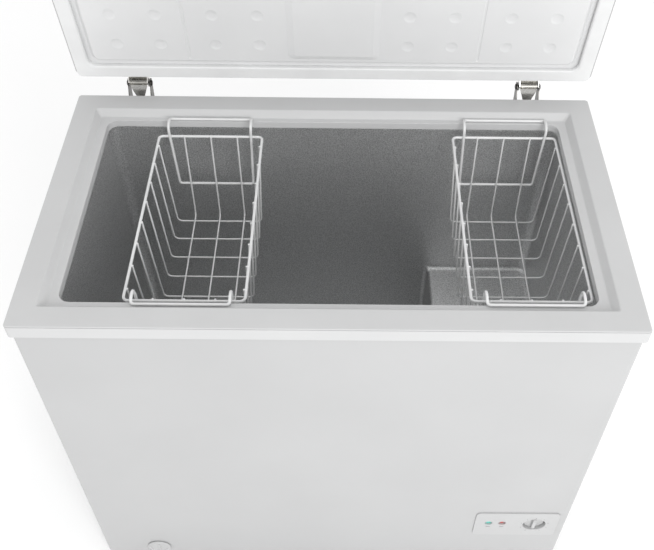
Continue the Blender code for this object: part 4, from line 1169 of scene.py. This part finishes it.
class BuildHandle(bpy.types.Operator):
    """Moulded grip along the lid's front edge"""

    bl_idname = "freezer.build_handle"
    bl_label = "Lid handle"

    def execute(self, context):
        size = context.scene.freezer_lid
        face = LID_MIDDLE_Y - context.scene.freezer_cabinet.depth / 2 - 0.0003
        top = LID_UNDER + size.thickness - 0.008
        low = LID_UNDER + 0.002
        half = (HANDLE_HIGH.x - HANDLE_LOW.x) / 2
        section = [
            (face, low),
            (face, top),
            (face - 0.004, top + 0.001),
            (face - 0.018, top - 0.004),
            (face - 0.024, top - 0.012),
            (face - 0.023, top - 0.021),
            (face - 0.020, top - 0.021),
            (face - 0.019, top - 0.013),
            (face - 0.014, top - 0.008),
            (face - 0.003, top - 0.005),
            (face - 0.003, low),
        ]
        grip = plate("lid_grip", [(-half, y, z) for y, z in section], (2 * half, 0, 0))
        softened(grip, 0.0011, 3, 25)
        smoothed(grip, 32)
        opened(grip)
        finished(grip, "lid", finish_of("fascia"), "white_plastic", "lid_handle")
        return {"FINISHED"}


def yz_arc(middle, radius, start, end, steps=12):
    """Points of an arc across X, angles in degrees from +Y towards +Z."""
    points = []
    for i in range(steps + 1):
        angle = math.radians(start + (end - start) * i / steps)
        points.append((middle[0] + radius * math.cos(angle), middle[1] + radius * math.sin(angle)))
    return points


def rod(name, radius, low, high, spot, turn=(0, 0, 0), steps=32, chamfer=0.0003):
    """A turned rod with chamfered ends."""
    profile = [
        (0, low),
        (radius - chamfer, low),
        (radius, low + chamfer),
        (radius, high - chamfer),
        (radius - chamfer, high),
        (0, high),
    ]
    return turned(name, profile, spot, turn, steps)


class BuildHinges(bpy.types.Operator):
    """Both hinges: cabinet bracket, lid leaf with its roller, pin, springs and screws"""

    bl_idname = "freezer.build_hinges"
    bl_label = "Hinges"

    def execute(self, context):
        size = context.scene.freezer_fittings
        bracket = self.bracket(size)
        leaf = self.leaf(size)
        roller = self.roller(size)
        pin = self.pin(size)
        spring = self.spring()
        screw = self.screw()
        for side in ("left", "right"):
            low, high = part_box(f"hinge_pin_{side}")
            x = (low.x + high.x) / 2
            shift = (x, 0, 0)
            nickel, zinc = finish_of("nickel"), "zinc"
            piece = copied(bracket, f"bracket_{side}", shift)
            # The bracket's near-black plate is painted shade between its ears.
            finished(piece, "cabinet", finish_of("bracket"), zinc, f"hinge_bracket_{side}")
            piece = copied(leaf, f"leaf_{side}", shift)
            finished(piece, "lid", nickel, zinc, f"hinge_leaf_{side}")
            piece = copied(roller, f"roller_{side}", shift)
            finished(piece, "lid", finish_of("screw"), zinc)
            piece = copied(pin, f"pin_{side}", shift)
            finished(piece, "cabinet", finish_of("rivet"), zinc, f"hinge_pin_{side}")
            piece = copied(spring, f"spring_{side}", shift)
            finished(piece, "cabinet", finish_of("spring"), "spring_steel", f"hinge_spring_{side}")
            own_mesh(piece)
            for end in ("1", "2"):
                low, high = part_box(f"hinge_screw_{side}_{end}")
                spot = ((low.x + high.x) / 2, REAR_HIGH.y, (low.z + high.z) / 2)
                piece = copied(screw, f"bracket_screw_{side}_{end}", spot)
                finished(piece, "cabinet", finish_of("screw"), zinc, f"hinge_screw_{side}_{end}")
        for first in (bracket, leaf, roller, pin, spring, screw):
            bpy.data.objects.remove(first, do_unlink=True)
        return {"FINISHED"}

    @staticmethod
    def bracket(size):
        """Back plate with wings, two ears, the spring's seat and their bores, at X = 0."""
        face, foot, head = REAR_HIGH.y + 0.0003, BRACKET_LOW.z, TOP - 0.018
        outer = size.ear + size.plate
        screw_z = (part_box("hinge_screw_left_1")[0].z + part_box("hinge_screw_left_1")[1].z) / 2
        wing, tall = 0.0365, 0.014
        outline = [
            (-outer, foot),
            (outer, foot),
            (outer, screw_z - tall),
            (wing, screw_z - tall),
            (wing, screw_z + tall),
            (outer, screw_z + tall),
            (outer, head),
            (-outer, head),
            (-outer, screw_z + tall),
            (-wing, screw_z + tall),
            (-wing, screw_z - tall),
            (-outer, screw_z - tall),
        ]
        flat = [(x, face, z) for x, z in outline]
        made = drawn_line("bracket", flat, filled=True)
        round_corners(made, 0.0045, 4, lambda co: abs(co.x) > wing - 0.001)
        edit(made, "FACE")
        bpy.ops.mesh.extrude_region_move(TRANSFORM_OT_translate={"value": (0, size.plate, 0)})
        leave()
        closed_up(made)
        back = COLLAR_HIGH.y
        ear = [(face, foot), (back + 0.018, foot), (PIN_Y + 0.004, TOP - 0.040)]
        ear += yz_arc((PIN_Y, PIN_Z), 0.009, -20, 200)
        ear += [(back + 0.003, TOP - 0.006), (back + 0.002, head), (face, head)]
        for side in (-1, 1):
            x = side * size.ear
            fused(made, plate("ear", [(x, y, z) for y, z in ear], (side * size.plate, 0, 0)))
        into = size.ear + 0.0005  # reaches into the ears
        seat_low, seat_high = (-into, face + 0.0005, foot), (into, back + 0.0175, foot + 0.002)
        seat = block("seat", seat_low, seat_high)
        fused(made, seat)
        plunger_y = (PLUNGER_LOW.y + PLUNGER_HIGH.y) / 2
        cut_away(made, rod("bore", 0.0048, -0.01, 0.01, (0, plunger_y, foot)))
        cut_away(made, rod("bore", 0.0033, -0.04, 0.04, (0, PIN_Y, PIN_Z), TO_RIGHT))
        for x in (-0.0285, 0.0285):
            cut_away(made, rod("bore", 0.0024, -0.02, 0.02, (x, REAR_HIGH.y, screw_z), TO_BACK))
        softened(made, 0.0003, 2, 40)
        return smoothed(made, 35)

    @staticmethod
    def leaf(size):
        """Web on the lid's back, shelf, two cheeks and two rivets, at X = 0."""
        web_face = COLLAR_HIGH.y - PIN_Y + 0.0003
        outer, thick = size.cheek + size.plate, size.plate
        high = LID_UNDER + bpy.context.scene.freezer_lid.thickness
        made = block("leaf", (-outer, web_face, LID_UNDER), (outer, web_face + thick, high - 0.008))
        shelf_low = (-outer, web_face + 0.0005, LID_UNDER)
        shelf = block("shelf", shelf_low, (outer, -0.0060, LID_UNDER + thick))
        fused(made, shelf)
        cheek = [(web_face + 0.0004, LID_UNDER - 0.0004), (-0.0099, -0.0104)]
        cheek += yz_arc((0, 0), 0.0070, -110, 120)
        cheek += [(web_face + 0.006, high - 0.009), (web_face + 0.0004, high - 0.009)]
        for side in (-1, 1):
            x = side * size.cheek
            fused(made, plate("cheek", [(x, y, z) for y, z in cheek], (side * thick, 0, 0)))
        cut_away(made, rod("bore", 0.0033, -0.04, 0.04, (0, 0, 0), TO_RIGHT))
        softened(made, 0.0003, 2, 40)
        for x, z in ((-0.0085, 0.010), (0.0085, 0.010), (0.0, 0.024)):
            head = turned(
                "rivet",
                [(0, -0.0004), (0.0028, -0.0004), (0.0028, 0.0006), (0.0020, 0.0013), (0, 0.0015)],
                (x, web_face + thick, z),
                TO_BACK,
                20,
            )
            fused(made, head)
        smoothed(made, 35)
        return opened(made)

    @staticmethod
    def roller(size):
        """Bright roller on the leaf's cam bar."""
        angle = math.radians(140) + bpy.context.scene.freezer_lid.open_angle
        spot = (0, 0.011 * math.cos(angle), 0.011 * math.sin(angle))
        end = size.cheek + 0.0004
        profile = [
            (0, -end),
            (0.0016, -end),
            (0.0016, 0.0012 - size.cheek),
            (0.0023, 0.0014 - size.cheek),
            (0.0025, 0.0020 - size.cheek),
            (0.0025, size.cheek - 0.0020),
            (0.0023, size.cheek - 0.0014),
            (0.0016, size.cheek - 0.0012),
            (0.0016, end),
            (0, end),
        ]
        bar = turned("roller", profile, spot, TO_RIGHT, 24)
        return opened(smoothed(bar, 35))

    @staticmethod
    def pin(size):
        """Headed pin through the ears and cheeks."""
        grip = size.ear + size.plate + 0.0003
        half = [(0.0030, grip), (0.0053, grip), (0.0052, grip + 0.0010)]
        half += [(0.0042, grip + 0.0019), (0, grip + 0.0020)]
        profile = [(r, -h) for r, h in reversed(half)] + half
        return smoothed(turned("pin", profile, (0, PIN_Y, PIN_Z), TO_RIGHT, 28), 35)

    @staticmethod
    def spring():
        """Compression spring with closed end turns."""
        radius, gauge = 0.0080, 0.0012
        y = (PLUNGER_LOW.y + PLUNGER_HIGH.y) / 2
        low, high = SPRING_LOW.z + gauge, SPRING_HIGH.z - gauge
        path = []
        steps, turns = 14, 9
        for i in range(turns * steps + 1):
            angle = math.tau * i / steps
            along = i / steps
            end_low = min(along, 1.0) * 0.0026
            end_high = max(along - (turns - 1), 0.0) * 0.0026
            free = min(max(along - 1.0, 0.0), turns - 2.0) / (turns - 2.0)
            z = low + end_low + end_high + free * (high - low - 0.0052)
            path.append((radius * math.cos(angle), y + radius * math.sin(angle), z))
        return smoothed(wire("spring", path, gauge, sides=8), 60, weighted=False)

    @staticmethod
    def screw():
        """Pan-head screw through the bracket's wing."""
        under = 0.0003 + 0.0015 + 0.0003
        profile = [
            (0, -0.0050),
            (0.0020, -0.0035),
            (0.0020, under),
            (0.0044, under),
            (0.0044, under + 0.0010),
            (0.0036, under + 0.0020),
            (0.0018, under + 0.0025),
            (0, under + 0.0025),
        ]
        made = turned("screw", profile, steps=24)
        for half in ((0.0024, 0.0005), (0.0005, 0.0024)):
            top = under + 0.0012
            slot = block("slot", (-half[0], -half[1], top), (half[0], half[1], top + 0.004))
            cut_away(made, slot)
        smoothed(made, 35)
        return placed(made, (0, 0, 0), TO_BACK)


class BuildControls(bpy.types.Operator):
    """Fascia with its lamps, thermostat knob and scale marks"""

    bl_idname = "freezer.build_controls"
    bl_label = "Controls"

    def execute(self, context):
        size = context.scene.freezer_fittings
        green = (GREEN_LOW + GREEN_HIGH) / 2
        red = (RED_LOW + RED_HIGH) / 2
        knob = (KNOB_LOW + KNOB_HIGH) / 2
        face, seat = PANEL_LOW.y, WRAP_LOW.y - 0.0003
        middle = (PANEL_LOW + PANEL_HIGH) / 2
        half_x, half_z = (PANEL_HIGH.x - PANEL_LOW.x) / 2, (PANEL_HIGH.z - PANEL_LOW.z) / 2
        thick = seat - face
        levels = [
            (half_x, half_z, 0.0, 0.010),
            (half_x, half_z, thick - 0.0010, 0.010),
            (half_x - 0.0003, half_z - 0.0003, thick - 0.0003, 0.0097),
            (half_x - 0.0011, half_z - 0.0011, thick, 0.0089),
        ]
        fascia = placed(ringed("fascia", levels, (0, 0), 8), (middle.x, seat, middle.z), TO_FRONT)
        axle = knob.x, seat, knob.z
        fused(fascia, rod("cup", size.well_radius + 0.0015, -0.0105, 0.001, axle, TO_FRONT, 64))
        well = [(0, -0.0090), (size.well_radius - 0.0006, -0.0090), (size.well_radius, -0.0084)]
        well += [(size.well_radius, thick - 0.0008), (size.well_radius + 0.0022, thick + 0.0014)]
        well += [(size.well_radius + 0.0022, 0.01), (0, 0.01)]
        cut_away(fascia, turned("well", well, axle, TO_FRONT, 64))
        cut_away(fascia, rod("bore", 0.0036, -0.03, 0.03, axle, TO_FRONT))
        for spot in (green, red):
            socket = [(0, -0.0062), (0.0098, -0.0062), (0.0098, thick / 2), (0, thick / 2)]
            fused(fascia, turned("socket", socket, (spot.x, seat, spot.z), TO_FRONT, 40))
            opening = [(0, -0.01), (0.0052, -0.01), (0.0052, -0.0052), (0.0070, -0.0050)]
            lamp = size.lamp_radius
            opening += [(lamp, thick - 0.0008), (lamp + 0.0012, thick + 0.0006)]
            opening += [(lamp + 0.0012, 0.01), (0, 0.01)]
            cut_away(fascia, turned("opening", opening, (spot.x, seat, spot.z), TO_FRONT, 48))
        smoothed(closed_up(fascia), 32)
        finished(fascia, "cabinet", finish_of("fascia"), "white_plastic", "control_panel")
        lens = [(0, -0.016), (0.0048, -0.016), (0.0048, -0.0046), (0.0066, -0.0046)]
        lens += [(0.0066, -0.0030), (0.0056, -0.0017), (0.0036, -0.0009), (0, -0.0006)]
        lamps = ("green", green, "power_lamp_green"), ("red", red, "alarm_lamp_red")
        for name, spot, node in lamps:
            glass = smoothed(turned(f"{name}_lens", lens, (spot.x, seat, spot.z), TO_FRONT, 40), 40)
            finished(glass, "cabinet", finish_of(name), f"{name}_lens", node)
        self.dial(size, knob, face)
        self.marks(knob, face, (green, red))
        return {"FINISHED"}

    @staticmethod
    def dial(size, knob, face):
        """Dial with a fluted rim and a raised bar to turn it by."""
        floor = face + 0.0025 + 0.0084
        radius = size.knob_radius
        front = 0.0020 + 0.0066
        profile = [
            (0, -0.0120),
            (0.0030, -0.0120),
            (0.0030, 0.0),
            (radius, 0.0),
            (radius, front - 0.0050),
            (radius - 0.0008, front - 0.0042),
            (radius - 0.0040, front - 0.0042),
            (radius - 0.0048, front - 0.0048),
            (0, front - 0.0048),
        ]
        dial = turned("dial", profile, steps=72)
        flute = rod("flute", 0.0009, -0.001, 0.012, (radius + 0.0003, 0, 0), steps=10)
        flutes = []
        for i in range(36):
            angle = math.tau * i / 36
            x = (radius + 0.0003) * math.cos(angle) - radius - 0.0003
            y = (radius + 0.0003) * math.sin(angle)
            flutes.append(copied(flute, "flute_copy", (x, y, 0)))
        bpy.data.objects.remove(flute, do_unlink=True)
        cut_away(dial, joined("flutes", *flutes))
        levels = [
            (0.0038, 0.0180, front - 0.0056, 0.0030),
            (0.0036, 0.0178, front + 0.0010, 0.0030),
            (0.0030, 0.0172, front + 0.0019, 0.0026),
            (0.0020, 0.0162, front + 0.0022, 0.0016),
        ]
        fused(dial, ringed("bar", levels, (0, 0), 5))
        low, high = (-0.0006, 0.0100, front + 0.0016), (0.0006, 0.0165, front + 0.0040)
        cut_away(dial, block("pointer", low, high))
        smoothed(dial, 32)
        placed(dial, (knob.x, floor, knob.z), TO_FRONT)
        finished(dial, "knob", finish_of("fascia"), "white_plastic", "thermostat_knob")

    @staticmethod
    def marks(knob, face, lamps):
        """Scale ticks round the knob and a short bar under each lamp."""
        made = []
        for i in range(9):
            angle = math.radians(-150 + 300 * i / 8)
            long = 0.0022 if i % 4 else 0.0034
            tick = ringed(
                f"tick_{i}",
                [
                    (0.00045, long / 2, 0.00005, 0.0002),
                    (0.00045, long / 2, 0.00018, 0.0002),
                    (0.00035, long / 2 - 0.0001, 0.00025, 0.00015),
                ],
                (0, 0),
                2,
            )
            placed(tick, (0, 0.0276, 0))
            placed(tick, (0, 0, 0), (0, 0, angle))
            made.append(placed(tick, (knob.x, face, knob.z), TO_FRONT))
        for spot in lamps:
            bar = ringed(
                "bar",
                [
                    (0.0042, 0.0006, 0.00005, 0.0003),
                    (0.0042, 0.0006, 0.0002, 0.0003),
                    (0.0040, 0.0004, 0.00027, 0.0002),
                ],
                (0, 0),
                2,
            )
            made.append(placed(bar, (spot.x, face, spot.z - 0.0135), TO_FRONT))
        row = smoothed(joined("fascia_marks", *made), 35)
        finished(row, "cabinet", finish_of("mark"), "black_plastic")


class BuildDrain(bpy.types.Operator):
    """Drain cap on the front and the plug in the tank's floor"""

    bl_idname = "freezer.build_drain"
    bl_label = "Drain"

    def execute(self, context):
        middle = (DRAIN_LOW + DRAIN_HIGH) / 2
        radius = (DRAIN_HIGH.x - DRAIN_LOW.x) / 2
        front = WRAP_LOW.y
        height = front - DRAIN_LOW.y
        profile = [
            (0, -0.018),
            (0.0062, -0.018),
            (0.0070, -0.0172),
            (0.0070, 0.0007),
            (radius - 0.0004, 0.0007),
            (radius, 0.0011),
            (radius, height - 0.0018),
            (radius - 0.0008, height - 0.0007),
            (radius - 0.0026, height),
            (radius - 0.0068, height),
            (radius - 0.0076, height - 0.0006),
            (radius - 0.0082, height - 0.0014),
            (0, height - 0.0014),
        ]
        cap = turned("drain_cover", profile, steps=64)
        bar = ringed(
            "bar",
            [
                (0.0024, 0.0150, height - 0.0020, 0.0020),
                (0.0022, 0.0148, height - 0.0004, 0.0019),
                (0.0014, 0.0140, height, 0.0012),
            ],
            (0, 0),
            5,
        )
        fused(cap, bar)
        smoothed(cap, 34)
        placed(cap, (middle.x, front, middle.z), TO_FRONT)
        finished(cap, "drain_cap", finish_of("fascia"), "white_plastic", "drain_cap")
        spot = (PLUG_LOW + PLUG_HIGH) / 2
        floor = context.scene.freezer_cabinet.tank_floor
        profile = [
            (0, -0.010),
            (0.0058, -0.010),
            (0.0064, -0.0092),
            (0.0072, 0.0002),
            (0.0124, 0.0003),
            (0.0130, 0.0009),
            (0.0128, 0.0024),
            (0.0110, 0.0032),
            (0.0060, 0.0042),
            (0.0044, 0.0062),
            (0.0040, 0.0108),
            (0.0034, 0.0124),
            (0, 0.0129),
        ]
        plug = smoothed(turned("floor_plug", profile, (spot.x, spot.y, floor), steps=40), 40)
        finished(plug, "drain_plug", finish_of("seal"), "soft_white", "tank_drain_plug")
        return {"FINISHED"}


class BuildGrille(bpy.types.Operator):
    """Louvred rear cover, its screws and the gland for the mains lead"""

    bl_idname = "freezer.build_grille"
    bl_label = "Rear grille"

    def execute(self, context):
        seat = GRILLE_LOW.y
        half_x, half_z = (GRILLE_HIGH.x - GRILLE_LOW.x) / 2, (GRILLE_HIGH.z - GRILLE_LOW.z) / 2
        middle = (GRILLE_LOW + GRILLE_HIGH) / 2
        levels = [
            (half_x, half_z, 0.0, 0.006),
            (half_x, half_z, 0.0012, 0.006),
            (half_x - 0.0008, half_z - 0.0008, 0.0020, 0.0052),
        ]
        cover = placed(ringed("grille", levels, (0, 0), 6), (middle.x, seat, middle.z), TO_BACK)
        low_x, high_x = GRILLE_LOW.x + 0.023, GRILLE_HIGH.x - 0.023
        first = GRILLE_LOW.z + 0.008 + 0.055
        slot = block("slot", (low_x, seat - 0.01, first), (high_x, seat + 0.01, first + 0.009))
        cut_away(cover, repeated(slot, 9, (0, 0, 0.022)))
        hood = plate(
            "hood",
            [
                (low_x - 0.002, seat + 0.0019, first + 0.0125),
                (low_x - 0.002, seat + 0.0019, first + 0.0092),
                (low_x - 0.002, seat + 0.0072, first + 0.0012),
                (low_x - 0.002, seat + 0.0086, first + 0.0020),
            ],
            (high_x - low_x + 0.004, 0, 0),
        )
        repeated(softened(hood, 0.0005, 2), 9, (0, 0, 0.022))
        fused(cover, hood)
        gland = (GLAND_LOW + GLAND_HIGH) / 2
        cut_away(cover, rod("bore", 0.0083, -0.02, 0.02, (gland.x, seat, gland.z), TO_BACK))
        smoothed(cover, 32)
        finished(cover, "cabinet", finish_of("collar"), "white_plastic", "rear_grille")
        heads = []
        for x in (GRILLE_LOW.x + 0.007, GRILLE_HIGH.x - 0.007):
            for z in (GRILLE_LOW.z + 0.007, GRILLE_HIGH.z - 0.007):
                spot = (x, seat + 0.0020, z)
                heads.append(pan_screw(f"grille_screw_{len(heads)}", spot, TO_BACK, 0.0034))
        row = smoothed(joined("grille_screws", *heads), 35)
        finished(row, "cabinet", finish_of("screw"), "zinc")
        out = GLAND_HIGH.y - REAR_HIGH.y
        profile = [
            (0.0040, -0.012),
            (0.0040, out),
            (0.0060, out),
            (0.0078, out - 0.0006),
            (0.0106, out - 0.0026),
            (0.0110, out - 0.0034),
            (0.0110, 0.0026),
            (0.0080, 0.0026),
            (0.0080, 0.0),
            (0.0072, -0.0005),
            (0.0070, -0.012),
        ]
        spot = (gland.x, REAR_HIGH.y, gland.z)
        bush = smoothed(turned("lead_gland", profile, spot, TO_BACK, 40, ring=True), 35)
        finished(bush, "cabinet", finish_of("moulding"), "black_plastic", "cord_gland")
        return {"FINISHED"}


class BuildFeet(bpy.types.Operator):
    """Four moulded feet with ribbed soles"""

    bl_idname = "freezer.build_feet"
    bl_label = "Feet"

    def execute(self, context):
        top = FOOT_HIGH.z
        profile = [(0, 0.0015), (0.005, 0.0015), (0.0058, 0), (0.0095, 0), (0.0103, 0.0015)]
        profile += [(0.0128, 0.0015), (0.0136, 0), (0.0158, 0), (0.0172, 0.0012)]
        profile += [(0.0190, 0.0040), (0.0190, 0.0100), (0.0202, 0.0118), (0.0240, top - 0.0034)]
        profile += [(0.0240, top - 0.0006), (0.0234, top), (0, top)]
        foot = smoothed(turned("foot", profile, steps=40), 35)
        for i in range(1, 5):
            low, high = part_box(f"foot_{i}")
            spot = ((low.x + high.x) / 2, (low.y + high.y) / 2, 0)
            piece = copied(foot, f"moulded_foot_{i}", spot)
            finished(piece, "cabinet", finish_of("moulding"), "black_plastic", f"foot_{i}")
        bpy.data.objects.remove(foot, do_unlink=True)
        return {"FINISHED"}


class BuildCompressor(bpy.types.Operator):
    """Compressor pot with its weld seam and foot plate"""

    bl_idname = "freezer.build_compressor"
    bl_label = "Compressor"

    def execute(self, context):
        middle = (POT_LOW + POT_HIGH) / 2
        profile = [(0, 0.053), (0.046, 0.053), (0.058, 0.0556), (0.067, 0.062), (0.0725, 0.072)]
        profile += [(0.074, 0.085), (0.074, 0.1235), (0.0752, 0.1250), (0.0776, 0.1256)]
        profile += [(0.0780, 0.1270), (0.0780, 0.1292), (0.0774, 0.1304), (0.0748, 0.1310)]
        profile += [(0.0738, 0.1325), (0.0728, 0.152), (0.0690, 0.170), (0.0610, 0.186)]
        profile += [(0.0500, 0.1965), (0.0340, 0.2036), (0.016, 0.2065), (0, 0.207)]
        pot = turned("compressor_pot", profile, (middle.x, middle.y, 0), steps=72)
        levels = [
            (0.090, 0.062, 0.0505, 0.016),
            (0.090, 0.062, 0.0532, 0.016),
            (0.0896, 0.0616, 0.0535, 0.0156),
        ]
        base = ringed("base", levels, (middle.x, middle.y), 6)
        fused(pot, base)
        smoothed(pot, 32)
        finished(pot, "cabinet", finish_of("enamel"), "black_paint", "compressor")
        return {"FINISHED"}


class PaintCarried(bpy.types.Operator):
    """Better finishes for the frame's pieces whose shape stays"""

    bl_idname = "freezer.paint_carried"
    bl_label = "Carried pieces"

    carried = {
        "zinc": ("base_pan", "compressor_base_plate", "compartment_divider", "thermostat_body"),
        "foam": ("cabinet_insulation", "lid_insulation"),
        "tube": ("evaporator_coil",),
        "copper": ("condenser_coil", "suction_tube", "discharge_tube", "filter_drier"),
        "moulding": ("relay_cover",),
        "rubber": tuple(f"compressor_mount_{i}" for i in range(1, 5)),
        "seal": ("drain_tube",),
        "nickel": ("hinge_plunger_left", "hinge_plunger_right"),
    }

    def execute(self, context):
        for name, nodes in self.carried.items():
            for node in nodes:
                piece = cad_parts[node]
                for slot in piece.material_slots:
                    slot.material = finish_of(name)
        return {"FINISHED"}


class BuildStage(bpy.types.Operator):
    """Pale floor, soft studio lights and the camera"""

    bl_idname = "freezer.build_stage"
    bl_label = "Stage"

    def execute(self, context):
        scene = context.scene
        bpy.ops.object.select_all(action="DESELECT")
        bpy.ops.mesh.primitive_plane_add(size=60)
        floor = added("studio_floor")
        base = tuple(scene.freezer_colours.floor)
        made, tree, shader = new_finish("studio_floor", base, 0.8)
        tinted(tree, shader, noise(tree, object_space(tree), 2, 3), shade(base, 0.99), base)
        floor.data.materials.append(made)
        world = bpy.data.worlds.new("studio")
        world.use_nodes = True
        world.node_tree.nodes["Background"].inputs["Color"].default_value = (1, 1, 1, 1)
        world.node_tree.nodes["Background"].inputs["Strength"].default_value = 1.04
        scene.world = world
        self.soft_light("key", (0.9, -2.5, 1.8), 1.2, 36)
        bpy.ops.object.camera_add(
            location=(0.0221, -1.0816, 1.8068),
            rotation=(math.radians(41.2973), math.radians(-0.6211), math.radians(0.1339)),
        )
        camera = added("camera")
        camera.data.sensor_width = 36
        camera.data.lens = 48.39
        camera.data.shift_x = -0.0352
        camera.data.clip_end = 100
        scene.camera = camera
        scene.view_settings.view_transform = "Standard"
        return {"FINISHED"}

    @staticmethod
    def soft_light(name, spot, size, power):
        """A square light aimed at the middle of the mouth."""
        bpy.ops.object.light_add(type="AREA", location=spot)
        light = added(name)
        light.data.shape = "SQUARE"
        light.data.size = size
        light.data.energy = power
        aim = Vector((0, MIDDLE_Y, 0.6)) - Vector(spot)
        light.rotation_euler = aim.to_track_quat("-Z", "Y").to_euler()


class FreezerPanel(bpy.types.Panel):
    """Sizes, colours and pieces of the freezer"""

    bl_idname = "VIEW3D_PT_freezer"
    bl_label = "Chest Freezer"
    bl_space_type = "VIEW_3D"
    bl_region_type = "UI"
    bl_category = "Freezer"

    def draw(self, context):
        layout = self.layout
        for kind in GROUPS:
            group = getattr(context.scene, kind)
            box = layout.box()
            for field in group.__annotations__:
                box.prop(group, field)
        for piece in PIECES:
            layout.operator(piece.bl_idname)


GROUPS = {
    "freezer_cabinet": FreezerCabinetSizes,
    "freezer_lid": FreezerLidSizes,
    "freezer_baskets": FreezerBasketSizes,
    "freezer_fittings": FreezerFittingSizes,
    "freezer_colours": FreezerColours,
}

PIECES = (
    BuildCollar,
    BuildBody,
    BuildRear,
    BuildTank,
    BuildBaskets,
    BuildLidShell,
    BuildLidPanel,
    BuildGasket,
    BuildHandle,
    BuildHinges,
    BuildControls,
    BuildDrain,
    BuildGrille,
    BuildFeet,
    BuildCompressor,
    PaintCarried,
    BuildStage,
)


def register():
    for kind, group in GROUPS.items():
        bpy.utils.register_class(group)
        setattr(bpy.types.Scene, kind, bpy.props.PointerProperty(type=group))
    for piece in PIECES:
        bpy.utils.register_class(piece)
    bpy.utils.register_class(FreezerPanel)


def unregister():
    bpy.utils.unregister_class(FreezerPanel)
    for piece in reversed(PIECES):
        bpy.utils.unregister_class(piece)
    for kind, group in GROUPS.items():
        delattr(bpy.types.Scene, kind)
        bpy.utils.unregister_class(group)


def main():
    register()
    for piece in PIECES:
        group, name = piece.bl_idname.split(".")
        getattr(getattr(bpy.ops, group), name)()


if __name__ == "__main__":
    main()
